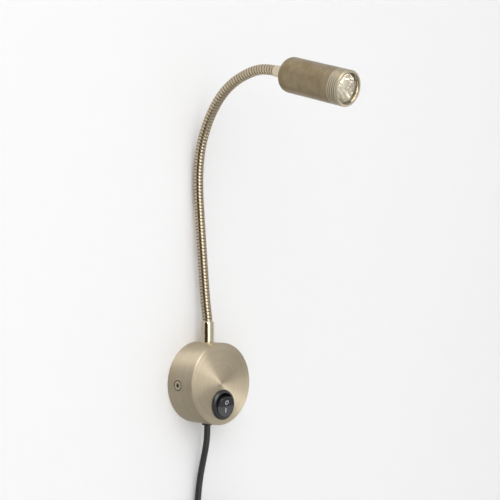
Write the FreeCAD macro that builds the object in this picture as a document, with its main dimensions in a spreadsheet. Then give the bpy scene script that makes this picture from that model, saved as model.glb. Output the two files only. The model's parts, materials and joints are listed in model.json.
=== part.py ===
import FreeCAD, Part

import math
import os

import Sketcher

# Bedside wall reading lamp: a round base on the wall, a gooseneck and a small
# cylindrical head. Millimetres. The origin is the centre of the base's back
# face, on the wall: +Z is up and the lamp faces -Y.

SIZES = {
    # round base
    "drum_radius": 32.0,
    "drum_depth": 27.0,
    "drum_wall": 1.5,
    "drum_rim": 0.6,
    "feature_plane": 11.2,
    # wall bracket
    "bracket_width": 14.0,
    "bracket_sheet": 1.5,
    "bracket_lug": 16.0,
    "bracket_clearance": 0.3,
    "slot_spacing": 36.0,
    "slot_width": 4.5,
    "slot_travel": 4.0,
    # side screws
    "screw_shank": 4.0,
    "screw_head": 8.0,
    "screw_long": 6.6,
    "screw_recess": 2.5,
    "fit": 0.05,
    # rocker switch
    "switch_drop": 16.3,
    "switch_aside": 1.6,
    "switch_hole": 20.0,
    "bezel_diameter": 23.5,
    "bezel_thick": 2.2,
    "switch_deep": 11.0,
    "switch_wall": 0.7,
    "rocker_wide": 8.75,
    "rocker_long": 8.1,
    "rocker_gap": 0.55,
    "rocker_ball": 10.3,
    "rocker_top": 5.4,
    "rocker_pivot": 4.5,
    "rocker_slope": 8.0,
    "rocker_rest": 11.0,
    "trunnion_radius": 1.0,
    "plunger_long": 6.1,
    "blade_rest": 6.0,
    "terminal_pitch": 5.5,
    "terminal_long": 7.0,
    "spring_radius": 0.95,
    "spring_wire": 0.15,
    # inside the base
    "driver_wide": 32.0,
    "driver_tall": 15.0,
    "driver_deep": 12.0,
    "driver_low": 3.5,
    "pad_thick": 1.0,
    "block_wide": 11.0,
    "block_tall": 10.0,
    "block_deep": 10.0,
    "block_left": 24.0,
    "block_low": 9.0,
    "lead_radius": 1.0,
    "thin_lead_radius": 0.55,
    # gooseneck and its two ferrules
    "neck_radius": 3.95,
    "neck_groove": 3.4,
    "neck_bore": 2.4,
    "neck_gap": 0.9,
    "ferrule_wall": 1.2,
    "ferrule_tall": 16.5,
    "ferrule_bevel": 1.1,
    "ferrule_socket": 10.0,
    "upper_ferrule_wall": 0.4,
    "upper_ferrule_long": 12.2,
    "stem_radius": 4.0,
    "nut_flats": 12.0,
    "nut_thick": 3.0,
    "washer_radius": 7.4,
    "washer_thick": 0.9,
    # head
    "head_tilt": 15.7,
    "head_radius": 13.25,
    "head_long": 60.0,
    "head_round": 5.0,
    "head_wall": 1.6,
    "head_back": 2.5,
    "bezel_long": 9.5,
    "bezel_lip": 1.6,
    "bezel_opening": 10.9,
    "bezel_groove": 0.35,
    "lens_thick": 1.5,
    "lens_radius": 11.7,
    "gasket_thick": 0.8,
    "reflector_deep": 15.1,
    "reflector_wall": 0.8,
    "board_radius": 10.0,
    "board_thick": 1.6,
    "sink_long": 15.0,
    # cord
    "cord_radius": 2.5,
    "gland_radius": 4.3,
    "gland_flange": 1.3,
    "coil_radius": 28.5,
    "coil_pitch": 5.6,
    "coil_turns": 9.125,
    "plug_long": 36.0,
    "plug_wide": 26.0,
    "plug_thick": 13.7,
    "pin_long": 19.0,
    "pin_radius": 2.0,
    "sleeve_long": 10.0,
    "sleeve_radius": 1.8,
    "pin_spacing": 18.6,
}

STRETCHES = 20
RIBS = 4
BORE_PARTS = 6
COIL_LAYERS = 4
COIL_START = math.radians(135)

# Where the middle of the gooseneck runs, measured from the middle of the lower
# ferrule's mouth: up beside the wall, leaning a little to the left, then out
# over the bed in one arch.
NECK_ROUTE = [
    (0.0, 0.0, 0.0),
    (-0.3, 0.6, 7.5),
    (-0.7, 1.9, 20.0),
    (-2.0, 3.5, 49.5),
    (-3.4, 5.3, 85.5),
    (-4.0, 6.0, 109.5),
    (-4.0, 3.1, 136.0),
    (-4.0, -9.7, 163.8),
    (-4.0, -31.0, 183.4),
    (-4.0, -52.3, 190.6),
    (-4.0, -77.0, 188.9),
]

# The hanging stretch of the cord, measured from the middle of the gland's mouth:
# down, back to the wall, and aside into the coil.
CORD_ROUTE = [
    (0.0, 0.0, 0.0),
    (0.0, 0.0, -7.7),
    (-0.3, 1.1, -16.7),
    (-0.9, 3.2, -26.7),
    (-1.9, 5.2, -37.7),
    (-2.9, 6.5, -49.2),
    (-3.6, 7.1, -61.2),
    (-5.4, 7.2, -71.2),
    (-10.5, 7.2, -80.2),
    (-17.5, 7.2, -87.2),
]

# The short stretch from the coil's end down to the plug, measured from that end.
PLUG_ROUTE = [
    (0.0, 0.0, 0.0),
    (0.0, 0.0, -6.0),
    (0.4, 1.4, -14.0),
    (0.6, 3.4, -22.0),
    (0.6, 3.4, -28.0),
]

doc = FreeCAD.newDocument("reading_lamp")
sheet = doc.addObject("Spreadsheet::Sheet", "sizes")
for row, (alias, number) in enumerate(SIZES.items(), start=1):
    sheet.set("A%d" % row, alias.replace("_", " "))
    sheet.set("B%d" % row, repr(number))
    sheet.setAlias("B%d" % row, alias)
doc.recompute()


class Measure:
    """A size as a number and as the expression that ties it to the sheet."""

    def __init__(self, number, text):
        self.number = float(number)
        self.text = text

    def join(self, other, sign, number):
        return Measure(number, "(%s %s %s)" % (self.text, sign, measure(other).text))

    def __add__(self, other):
        return self.join(other, "+", self.number + measure(other).number)

    def __sub__(self, other):
        return self.join(other, "-", self.number - measure(other).number)

    def __mul__(self, other):
        return self.join(other, "*", self.number * measure(other).number)

    def __truediv__(self, other):
        return self.join(other, "/", self.number / measure(other).number)

    def __radd__(self, other):
        return measure(other) + self

    def __rsub__(self, other):
        return measure(other) - self

    def __rmul__(self, other):
        return measure(other) * self

    def __neg__(self):
        return measure(0) - self

    def __float__(self):
        return self.number


def measure(value):
    return value if isinstance(value, Measure) else Measure(value, "(%r)" % float(value))


def size(alias):
    return Measure(sheet.get(alias), "sizes." + alias)


def root(value):
    return Measure(math.sqrt(value.number), "sqrt(%s)" % value.text)


def vector(x, y, z):
    return FreeCAD.Vector(float(x), float(y), float(z))


def frame(origin, tilt):
    """A placement at origin, turned by tilt degrees about X."""
    return FreeCAD.Placement(origin, FreeCAD.Rotation(FreeCAD.Vector(1, 0, 0), tilt))


# In the base's frame x runs to the right, y up and z out from the wall.
# In the upright frame the axes are the lamp's own.
BASE = frame(vector(0, 0, 0), 90)
UPRIGHT = frame(vector(0, 0, 0), 0)


def put(item, place, x=0, y=0, z=0, turn=None):
    """Places an item at x, y, z of a frame, turned by turn = (axis, degrees)."""
    rotation = FreeCAD.Rotation(FreeCAD.Vector(*turn[0]), turn[1]) if turn else FreeCAD.Rotation()
    item.Placement = place.multiply(FreeCAD.Placement(vector(x, y, z), rotation))
    return item


def bind(item, **sizes):
    for key, value in sizes.items():
        item.setExpression(key, measure(value).text)


def turned(name, corners):
    """A body turned about its own Z axis from corners given as (radius, height)."""
    body = doc.addObject("PartDesign::Body", name)
    sketch = body.newObject("Sketcher::SketchObject", name + "_profile")
    plane = next(item for item in body.Origin.OriginFeatures if item.Role == "XZ_Plane")
    sketch.AttachmentSupport = [(plane, "")]
    sketch.MapMode = "FlatFace"
    corners = [(measure(radius), measure(height)) for radius, height in corners]
    ends = corners[1:] + corners[:1]
    for start, end in zip(corners, ends):
        line = Part.LineSegment(vector(start[0], start[1], 0), vector(end[0], end[1], 0))
        sketch.addGeometry(line, False)
    for index, corner in enumerate(corners):
        following = (index + 1) % len(corners)
        sketch.addConstraint(Sketcher.Constraint("Coincident", index, 2, following, 1))
        for kind, value in zip(("DistanceX", "DistanceY"), corner):
            number = sketch.addConstraint(Sketcher.Constraint(kind, -1, 1, index, 1, value.number))
            sketch.setExpression("Constraints[%d]" % number, value.text)
    turn = body.newObject("PartDesign::Revolution", name + "_turn")
    turn.Profile = sketch
    turn.ReferenceAxis = (sketch, ["V_Axis"])
    turn.Angle = 360
    return body


def rod(name, radius, length):
    item = doc.addObject("Part::Cylinder", name)
    bind(item, Radius=radius, Height=length)
    return item


def cone(name, low_radius, high_radius, length):
    item = doc.addObject("Part::Cone", name)
    bind(item, Radius1=low_radius, Radius2=high_radius, Height=length)
    return item


def block(name, wide, tall, deep):
    item = doc.addObject("Part::Box", name)
    bind(item, Length=wide, Width=tall, Height=deep)
    return item


def ball(name, radius):
    item = doc.addObject("Part::Sphere", name)
    bind(item, Radius=radius)
    return item


def prism(name, sides, corner_radius, length):
    item = doc.addObject("Part::Prism", name)
    item.Polygon = sides
    bind(item, Circumradius=corner_radius, Height=length)
    return item


def fused(name, *items):
    item = doc.addObject("Part::MultiFuse", name)
    item.Shapes = list(items)
    return item


def common(name, *items):
    item = doc.addObject("Part::MultiCommon", name)
    item.Shapes = list(items)
    return item


def cut(name, base, *tools):
    item = doc.addObject("Part::Cut", name)
    item.Base = base
    item.Tool = tools[0] if len(tools) == 1 else fused(name + "_tools", *tools)
    return item


def group(name, *items):
    """Separate solids that share one node."""
    item = doc.addObject("Part::Compound", name)
    item.Links = list(items)
    return item


nodes = []


def node(item):
    """Hands a finished sub-part in under its own name."""
    item.Label = item.Name
    nodes.append(item)
    return item


# --------------------------------------------------------- routes and tubes
def bend_radius(before, corner, after):
    """The arc that takes up 0.45 of the shorter run at a corner, and the turn there."""
    first = corner.sub(before)
    second = after.sub(corner)
    turn = first.getAngle(second)
    return 0.45 * min(first.Length, second.Length) / math.tan(turn / 2), turn


def run_path(points):
    """Straight runs between the points, joined by tangent arcs. Gives the wire and the radii."""
    edges = []
    radii = []
    start = points[0]
    for before, corner, after in zip(points, points[1:], points[2:]):
        radius, turn = bend_radius(before, corner, after)
        reach = radius * math.tan(turn / 2)
        into = corner.sub(before).normalize()
        out = after.sub(corner).normalize()
        arc_start = corner.sub(into.multiply(reach))
        arc_end = corner.add(FreeCAD.Vector(out).multiply(reach))
        inward = arc_start.add(arc_end).multiply(0.5).sub(corner).normalize()
        centre_far = radius / math.cos(turn / 2)
        arc_middle = corner.add(inward.multiply(centre_far - radius))
        edges.append(Part.LineSegment(start, arc_start).toShape())
        edges.append(Part.Arc(arc_start, arc_middle, arc_end).toShape())
        radii.append(radius)
        start = arc_end
    edges.append(Part.LineSegment(start, points[-1]).toShape())
    return Part.Wire(edges), radii


def swept(path, radius):
    """A round solid of the given radius along a wire."""
    edge = path.OrderedEdges[0]
    start = edge.valueAt(edge.FirstParameter)
    along = edge.tangentAt(edge.FirstParameter)
    section = Part.Wire([Part.makeCircle(float(radius), start, along)])
    return path.makePipeShell([section], True, False)


def tube_shape(name, points, radius):
    """A round tube along runs and arcs, with its length, bends and volume printed."""
    path, radii = run_path(points)
    solid = swept(path, radius)
    exact = math.pi * float(radius) ** 2 * path.Length
    print("%s: length %.1f, radii %s, volume / (section x length) %.4f"
          % (name, path.Length, " ".join("%.1f" % radius for radius in radii), solid.Volume / exact))
    return solid


def feature(name, shape):
    item = doc.addObject("Part::Feature", name)
    item.Shape = shape
    return item


def in_base(points):
    """Points given in the base's frame, in the lamp's own axes."""
    return [BASE.multVec(vector(*point)) for point in points]


def biarc(start, start_along, end, end_along):
    """Two arcs that join two points with given directions, tangent at their meeting."""
    chord = end.sub(start)
    both = start_along.add(end_along)
    a = 2 * (1 - start_along.dot(end_along))
    b = 2 * chord.dot(both)
    c = -chord.dot(chord)
    reach = (-b + math.sqrt(b * b - 4 * a * c)) / (2 * a)
    first = start.add(FreeCAD.Vector(start_along).multiply(reach))
    last = end.sub(FreeCAD.Vector(end_along).multiply(reach))
    joint = first.add(last).multiply(0.5)
    return [tangent_arc(start, start_along, joint), tangent_arc_back(joint, end, end_along)]


def tangent_arc(start, along, end):
    """The arc from start, leaving along a direction, to end."""
    chord = end.sub(start)
    angle = along.getAngle(chord)
    half = chord.Length / 2
    normal = chord.cross(along).cross(chord)
    normal.normalize()
    middle = start.add(end).multiply(0.5).add(normal.multiply(half * math.tan(angle / 2)))
    return Part.Arc(start, middle, end).toShape()


def tangent_arc_back(start, end, along):
    reverse = tangent_arc(end, FreeCAD.Vector(along).multiply(-1), start)
    middle = reverse.valueAt((reverse.FirstParameter + reverse.LastParameter) / 2)
    return Part.Arc(start, middle, end).toShape()


def arc_path(points, alongs, straight):
    """Biarcs through points with given directions, with a straight run before and after."""
    start = points[0].sub(FreeCAD.Vector(alongs[0]).multiply(straight))
    end = points[-1].add(FreeCAD.Vector(alongs[-1]).multiply(straight))
    edges = [Part.LineSegment(start, points[0]).toShape()]
    for index in range(len(points) - 1):
        edges += biarc(points[index], alongs[index], points[index + 1], alongs[index + 1])
    edges.append(Part.LineSegment(points[-1], end).toShape())
    return Part.Wire(edges)


# ---------------------------------------------------------------- round base
drum_radius = size("drum_radius")
drum_depth = size("drum_depth")
drum_wall = size("drum_wall")
drum_bore = drum_radius - drum_wall
front_inside = drum_depth - drum_wall
plane = size("feature_plane")
fit = size("fit")
switch_drop = size("switch_drop")
switch_aside = size("switch_aside")
screw_shank = size("screw_shank") / 2
screw_head = size("screw_head") / 2
stem_radius = size("stem_radius")
gland_neck = size("gland_radius") - 0.8


def countersink(name):
    """The cone and hole of one side screw, along +Z from the base's surface."""
    taper = cone(name + "_cone", screw_head + fit * 2, screw_shank + fit, screw_head - screw_shank)
    hole = rod(name + "_hole", screw_shank + fit, 8)
    return taper, hole


def base_housing():
    """The turned cup of the base, with its switch, ferrule, gland and screw holes."""
    rim = size("drum_rim")
    cup = turned("housing_cup", [
        (drum_bore, 0),
        (drum_radius, 0),
        (drum_radius, drum_depth - rim),
        (drum_radius - rim, drum_depth),
        (0, drum_depth),
        (0, front_inside),
        (drum_bore, front_inside),
    ])
    put(cup, BASE)
    tools = [put(rod("switch_opening", size("switch_hole") / 2, drum_wall * 3), BASE,
                 switch_aside, -switch_drop, front_inside - drum_wall)]
    tools.append(put(rod("stem_opening", stem_radius + fit * 2, drum_wall * 3), UPRIGHT,
                     0, -plane, drum_bore - drum_wall))
    tools.append(put(rod("gland_opening", gland_neck, drum_wall * 3), UPRIGHT,
                     0, -plane, -drum_radius - drum_wall))
    for side in (-1, 1):
        taper, hole = countersink("countersink_right" if side > 0 else "countersink_left")
        turn = ((0, 1, 0), -90 * side)
        put(taper, UPRIGHT, side * (drum_radius - 0.35), -plane, 0, turn)
        put(hole, UPRIGHT, side * (drum_radius + 1), -plane, 0, turn)
        outer = rod("seat_right" if side > 0 else "seat_left", screw_head + fit * 2, 2)
        put(outer, UPRIGHT, side * (drum_radius + 1.65), -plane, 0, turn)
        tools += [taper, hole, outer]
    node(cut("base_housing", cup, *tools))


def wall_bracket():
    """The bent steel strap that is screwed to the wall and holds the base by two lugs."""
    width = size("bracket_width")
    sheet_thick = size("bracket_sheet")
    reach = root(drum_bore * drum_bore - width * width / 4) - size("bracket_clearance")
    strap = put(block("strap", reach * 2, width, sheet_thick), BASE, -reach, -width / 2, 0)
    parts = [strap]
    tools = []
    for side in (-1, 1):
        name = "right" if side > 0 else "left"
        lug = block("lug_" + name, sheet_thick, width, size("bracket_lug"))
        start = reach - sheet_thick if side > 0 else -reach
        parts.append(put(lug, BASE, start, -width / 2, 0))
        hole = rod("thread_" + name, screw_shank + fit, sheet_thick * 3)
        tools.append(put(hole, BASE, side * (reach + sheet_thick), 0, plane, ((0, 1, 0), -90 * side)))
        slot = size("slot_width")
        travel = size("slot_travel")
        middle = size("slot_spacing") / 2 * side
        tools.append(put(block("slot_" + name, travel, slot, sheet_thick * 3), BASE,
                         middle - travel / 2, -slot / 2, -sheet_thick))
        for end in (-1, 1):
            round_end = rod("slot_end_%s_%d" % (name, end + 1), slot / 2, sheet_thick * 3)
            tools.append(put(round_end, BASE, middle + travel / 2 * end, 0, -sheet_thick))
    node(cut("wall_bracket", fused("bent_strap", *parts), *tools))


def side_screws():
    """The two countersunk socket screws that hold the base on the bracket's lugs."""
    screws = []
    for side in (-1, 1):
        name = "right" if side > 0 else "left"
        head_deep = screw_head - screw_shank
        body = turned("screw_body_" + name, [
            (0, 0),
            (screw_head, 0),
            (screw_head, 0.25),
            (screw_shank, head_deep + 0.25),
            (screw_shank, size("screw_long")),
            (0, size("screw_long")),
        ])
        recess = prism("recess_" + name, 6, size("screw_recess") / 2 * 2 / math.sqrt(3), 1.6)
        turn = ((0, 1, 0), -90 * side)
        put(body, UPRIGHT, side * (drum_radius - 0.1), -plane, 0, turn)
        put(recess, UPRIGHT, side * (drum_radius - 0.1), -plane, 0, turn)
        screws.append(cut("screw_" + name, body, recess))
    node(group("side_screws", *screws))


# ------------------------------------------------------------- rocker switch
bezel_radius = size("bezel_diameter") / 2
switch_front = drum_depth + size("bezel_thick")
pivot_out = switch_front - size("rocker_pivot")
switch_back = front_inside - size("switch_deep")
rocker_wide = size("rocker_wide")
rocker_long = size("rocker_long")
switch_body_radius = size("switch_hole") / 2 - 0.1
trunnion_reach = switch_body_radius - 0.15
switch_floor_thick = 1.4
pivot_post = 1.6
contact_post = 1.3
blade_pivot = switch_back + switch_floor_thick + pivot_post + 0.6
plunger_top = 1.2
rocker_bore_top = 3.2
SPRING_TURNS = 5


def switch_body():
    """The black frame: bezel outside, round box behind, with a floor that holds the terminals."""
    bore_wide = rocker_wide + size("rocker_gap")
    bore = switch_body_radius - size("switch_wall")
    floor = switch_back + switch_floor_thick
    shell = turned("switch_shell", [
        (0, switch_back),
        (switch_body_radius, switch_back),
        (switch_body_radius, drum_depth),
        (bezel_radius, drum_depth),
        (bezel_radius, drum_depth + 0.7),
        (bezel_radius - 0.35, drum_depth + 1.2),
        (bezel_radius - 1.5, switch_front),
        (bore_wide, switch_front),
        (bore_wide, pivot_out + 2.2),
        (bore, pivot_out + 1.2),
        (bore, floor),
        (0, floor),
    ])
    put(shell, BASE, switch_aside, -switch_drop, 0)
    pin = rod("trunnion_bore", size("trunnion_radius") + fit, trunnion_reach * 2 + 0.2)
    put(pin, UPRIGHT, switch_aside - trunnion_reach - 0.1, -pivot_out, -switch_drop, ((0, 1, 0), 90))
    tools = [pin]
    for index in range(2):
        slot = block("terminal_slot_%d" % index, 6.4, 0.9, 4)
        put(slot, BASE, switch_aside - 3.2, -switch_drop + size("terminal_pitch") * index - 0.45,
            switch_back - 1)
        tools.append(slot)
    node(cut("switch_body", shell, *tools))


def switch_rocker():
    """The round rocker with its two sloped faces, pivots and plunger tube, pressed at its foot."""
    top = size("rocker_top")
    outline = Part.Ellipse(vector(0, 0, -2), float(rocker_wide), float(rocker_long)).toShape()
    oval = Part.Face(Part.Wire([outline])).extrude(vector(0, 0, float(top) * 2 + 3))
    rounded = common("rocker_blank", feature("rocker_oval", oval), ball("rocker_ball_shape", size("rocker_ball")))
    tools = []
    for side in (-1, 1):
        wedge = block("rocker_slope_%d" % (side + 1), 30, 30, 20)
        crest = frame(vector(0, 0, top), float(size("rocker_slope")) * side)
        tools.append(put(wedge, crest, -15, -30 if side < 0 else 0, 0))
    hollow = put(rod("rocker_hollow", rocker_long - 1.2, 5), UPRIGHT, 0, 0, -2.5)
    shell = cut("rocker_shell", rounded, hollow, *tools)
    pins = rod("rocker_trunnions", size("trunnion_radius"), trunnion_reach * 2)
    put(pins, UPRIGHT, -trunnion_reach, 0, 0, ((0, 1, 0), 90))
    tube = put(rod("rocker_tube_outer", 2.0, 5), UPRIGHT, 0, 0, -2)
    bore = put(rod("rocker_tube_bore", 1.3, rocker_bore_top + 2.5), UPRIGHT, 0, 0, -2.5)
    whole = fused("rocker_whole", shell, pins, tube)
    rocker = cut("switch_rocker", whole, bore)
    place = frame(vector(switch_aside, -pivot_out, -switch_drop), 90 + float(size("rocker_rest")))
    rocker.Placement = place
    node(rocker)
    tip = size("plunger_long")
    pusher = turned("switch_plunger", [
        (0, -tip),
        (0.5, -tip),
        (1.2, 0.7 - tip),
        (1.2, -plunger_top),
        (0, -plunger_top),
    ])
    pusher.Placement = place
    node(pusher)
    spring = feature("plunger_spring", spring_shape())
    spring.Placement = place
    node(spring)


def spring_shape():
    """The spring between the plunger and the foot of its bore, as one wound wire."""
    radius = float(size("spring_radius"))
    wire = float(size("spring_wire"))
    low = wire * 2 - float(plunger_top)
    high = float(rocker_bore_top) - wire * 2
    rise = (high - low) / (4 * SPRING_TURNS)
    points = []
    alongs = []
    for index in range(4 * SPRING_TURNS + 1):
        angle = math.pi / 2 * index
        points.append(vector(radius * math.cos(angle), radius * math.sin(angle), low + rise * index))
        along = vector(-radius * math.sin(angle), radius * math.cos(angle), rise / (math.pi / 2))
        alongs.append(along.normalize())
    return swept(arc_path(points, alongs, wire / 2), wire)


def switch_contacts():
    """The two terminal blades with their posts, and the see-saw blade that joins them."""
    pitch = size("terminal_pitch")
    blades = []
    for index, post in enumerate((pivot_post, contact_post)):
        tab = block("terminal_tab_%d" % index, 6.3, 0.8, size("terminal_long") + switch_floor_thick + post)
        put(tab, BASE, switch_aside - 3.15, -switch_drop + pitch * index - 0.4,
            switch_back - size("terminal_long"))
        blades.append(tab)
    node(group("switch_terminals", *blades))
    strip = put(block("seesaw_strip", 3, 12.4, 0.4), UPRIGHT, -1.5, -6.2, -0.2)
    knuckle = put(rod("seesaw_knuckle", 0.5, 3), UPRIGHT, -1.5, 0, 0, ((0, 1, 0), 90))
    seesaw = fused("switch_blade", strip, knuckle)
    seesaw.Placement = frame(vector(switch_aside, -blade_pivot, -switch_drop), 90 - float(size("blade_rest")))
    node(seesaw)


# ------------------------------------------------------- inside of the base
driver_out = front_inside - size("pad_thick") - size("driver_deep")
driver_half = size("driver_wide") / 2
driver_low = size("driver_low")
block_left = size("block_left")
block_right = block_left - size("block_wide")
block_low = size("block_low")
block_high = size("block_tall") - block_low
block_out = front_inside - size("block_deep")
TAIL_INSIDE = 27.6


def led_driver():
    """The potted driver box and the foam pad that sticks it behind the front."""
    box = block("led_driver", driver_half * 2, size("driver_tall"), size("driver_deep"))
    node(put(box, BASE, -driver_half, driver_low, driver_out))
    pad = block("driver_pad", driver_half * 2 - 4, size("driver_tall") - 3, size("pad_thick"))
    node(put(pad, BASE, -driver_half + 2, driver_low + 1.5, front_inside - size("pad_thick")))


def terminal_block():
    """The two-way block that joins the cord's cores to the leads, with its clamp screws."""
    body = put(block("block_body", size("block_wide"), size("block_tall"), size("block_deep")), BASE,
               -block_left, -block_low, block_out)
    tools = []
    screws = []
    for index in range(2):
        x = -block_left + 2.75 + 5.5 * index
        well = put(rod("block_well_%d" % index, 1.7, 4), BASE, x, block_high - size("block_tall") / 2,
                   block_out - 1)
        tools.append(well)
        screw = put(rod("clamp_screw_%d" % index, 1.6, 1.8), BASE, x,
                    block_high - size("block_tall") / 2, block_out + 1.2)
        slot = put(block("clamp_slot_%d" % index, 3.6, 0.5, 0.9), BASE, x - 1.8,
                   block_high - size("block_tall") / 2 - 0.25, block_out + 0.8)
        screws.append(cut("clamp_screw_cut_%d" % index, screw, slot))
    node(cut("terminal_block", body, *tools))
    node(group("terminal_screws", *screws))


def wiring():
    """The mains cores, the switch leads and the two thin leads to the light."""
    first = float(-block_left + 2.75)
    second = first + 5.5
    low = float(-block_low)
    high = float(block_high)
    middle = float(block_out + 6)
    entry = float(plane)
    lead = size("lead_radius")
    live = in_base([(-1.1, -TAIL_INSIDE, entry), (-1.1, -25.6, entry), (-4.6, -24.2, entry),
                    (-12.0, -21.2, entry + 1.0), (first + 1.4, -17.4, middle - 5),
                    (first, -13.4, middle - 1.6), (first, -11.2, middle), (first, low, middle)])
    neutral = in_base([(1.1, -TAIL_INSIDE, entry - 0.6), (1.1, -25.6, entry - 0.6),
                       (-0.4, -24.2, entry - 3.0), (-6.0, -22.0, entry - 4.4),
                       (-12.0, -18.4, entry - 2.0), (second, -14.8, middle - 5),
                       (second, -12.2, middle - 1.4), (second, -10.6, middle), (second, low, middle)])
    node(group("mains_cores", feature("live_core", tube_shape("live_core", live, lead)),
               feature("neutral_core", tube_shape("neutral_core", neutral, lead))))
    drop = float(-switch_drop)
    aside = float(switch_aside)
    tab_end = float(switch_back - size("terminal_long"))
    upper = drop + float(size("terminal_pitch"))
    to_switch = in_base([(first, high, middle), (first, high + 1.4, middle),
                         (first, high + 2.8, middle - 2.4), (first, high + 2.4, 14.2),
                         (first, high + 0.4, 9.4), (-15.0, -7.6, 5.0), (-8.0, -13.0, 4.2),
                         (aside - 1.6, drop, 4.2), (aside, drop, 5.4),
                         (aside, drop, tab_end)])
    from_switch = in_base([(aside, upper, tab_end), (aside, upper, 5.4), (aside + 1.6, upper + 0.6, 4.0),
                           (6.0, -9.4, 3.8), (9.6, -6.0, 5.4), (11.6, -2.4, 9.6), (12.0, -0.4, 14.0),
                           (12.0, 1.6, 15.8), (12.0, float(driver_low), 15.8)])
    bridge = in_base([(second, high, middle), (second, float(driver_low), middle)])
    node(group("switch_leads", feature("lead_to_switch", tube_shape("lead_to_switch", to_switch, lead)),
               feature("lead_from_switch", tube_shape("lead_from_switch", from_switch, lead)),
               feature("lead_to_driver", tube_shape("lead_to_driver", bridge, lead))))
    top = float(driver_low + size("driver_tall"))
    thin = size("thin_lead_radius")
    stem_low = float(stem_end)
    leads = []
    for side in (-1, 1):
        points = in_base([(side * 2.4, top, 14.6), (side * 2.4, top + 1.2, 14.6),
                          (side * 0.9, stem_low - 0.6, entry + 0.4), (side * 0.8, stem_low + 3.0, entry),
                          (side * 0.8, float(drum_radius) + 14.0, entry)])
        name = "light_lead_%d" % (side + 1)
        leads.append(feature(name, tube_shape(name, points, thin)))
    node(group("light_leads", *leads))


# ----------------------------------------------------- ferrules and clamping
neck_radius = size("neck_radius")
neck_bore = size("neck_bore")
ferrule_top = drum_radius + size("ferrule_tall")
nut_corner = size("nut_flats") / 2 * (2 / math.sqrt(3))
washer_radius = size("washer_radius")
washer_seat = root(drum_bore * drum_bore - washer_radius * washer_radius)
stem_end = washer_seat - size("washer_thick") - size("nut_thick") - 1.5


def lower_ferrule():
    """The brass ferrule on the base: its threaded stem goes in, the gooseneck sits in its socket."""
    radius = neck_radius + fit + size("ferrule_wall")
    bevel = size("ferrule_bevel")
    socket = ferrule_top - size("ferrule_socket")
    body = turned("ferrule_body", [
        (neck_bore, stem_end),
        (stem_radius, stem_end),
        (stem_radius, drum_bore - 0.5),
        (radius, drum_bore - 0.5),
        (radius, ferrule_top - bevel * 1.6),
        (radius - bevel * 0.35, ferrule_top - bevel * 0.5),
        (radius - bevel * 0.9, ferrule_top),
        (neck_radius + fit, ferrule_top),
        (neck_radius + fit, socket),
        (neck_bore, socket),
    ])
    put(body, UPRIGHT, 0, -plane, 0)
    drum = put(rod("ferrule_saddle", drum_radius, 30), BASE, 0, 0, plane - 15)
    column = put(rod("ferrule_column", stem_radius, drum_radius * 2), UPRIGHT, 0, -plane, 0)
    saddle = cut("ferrule_saddle_cut", drum, column)
    node(cut("lower_ferrule", body, saddle))


def neck_nut():
    """The hexagon nut and washer that clamp the lower ferrule inside the base."""
    washer = turned("neck_washer", [
        (stem_radius + fit, washer_seat - size("washer_thick")),
        (washer_radius, washer_seat - size("washer_thick")),
        (washer_radius, washer_seat),
        (stem_radius + fit, washer_seat),
    ])
    node(put(washer, UPRIGHT, 0, -plane, 0))
    low = washer_seat - size("washer_thick") - size("nut_thick")
    hexagon = put(prism("neck_nut_blank", 6, nut_corner, size("nut_thick")), UPRIGHT, 0, -plane, low)
    bore = put(rod("neck_nut_bore", stem_radius + fit, size("nut_thick") * 3), UPRIGHT, 0, -plane,
               low - size("nut_thick"))
    node(cut("neck_nut", hexagon, bore))


# -------------------------------------------------------------- gooseneck
head_tilt = float(size("head_tilt"))
head_out = vector(0, -math.cos(math.radians(head_tilt)), -math.sin(math.radians(head_tilt)))


def neck_curve():
    """The middle line of the gooseneck as one smooth curve."""
    mouth = vector(0, -plane, ferrule_top)
    curve = Part.BSplineCurve()
    curve.interpolate(Points=[mouth.add(vector(*point)) for point in NECK_ROUTE],
                      InitialTangent=vector(0, 0, 1), FinalTangent=head_out)
    return curve.toShape()


neck_line = neck_curve()
neck_long = neck_line.Length
neck_start = neck_line.valueAt(neck_line.FirstParameter)
neck_end = neck_line.valueAt(neck_line.LastParameter)


def station(distance):
    """The point and direction at a distance along the gooseneck, straight past its ends."""
    if distance <= 0:
        return neck_start.add(vector(0, 0, distance)), vector(0, 0, 1)
    if distance >= neck_long:
        return neck_end.add(FreeCAD.Vector(head_out).multiply(distance - neck_long)), FreeCAD.Vector(head_out)
    parameter = neck_line.getParameterByLength(distance)
    return neck_line.valueAt(parameter), neck_line.tangentAt(parameter)


def ring(distance, radius):
    """A circle across the gooseneck whose own X axis keeps to the lamp's X."""
    point, along = station(distance)
    across = vector(1, 0, 0)
    across = across.sub(FreeCAD.Vector(along).multiply(along.dot(across))).normalize()
    side = along.cross(across)
    matrix = FreeCAD.Matrix(across.x, side.x, along.x, point.x,
                            across.y, side.y, along.y, point.y,
                            across.z, side.z, along.z, point.z,
                            0, 0, 0, 1)
    circle = Part.makeCircle(float(radius))
    circle.Placement = FreeCAD.Placement(matrix)
    return Part.Wire([circle])


def hinge_at(index):
    """How far along the gooseneck hinge number index lies, from 1 to STRETCHES - 1."""
    return (index - 0.5) * neck_long / (STRETCHES - 1)


# One rib of the gooseneck: how far along it, and how far up from groove to crest.
RIB_PROFILE = ((0.0, 0.0), (0.22, 0.8), (0.5, 1.0), (0.78, 0.8))


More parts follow.
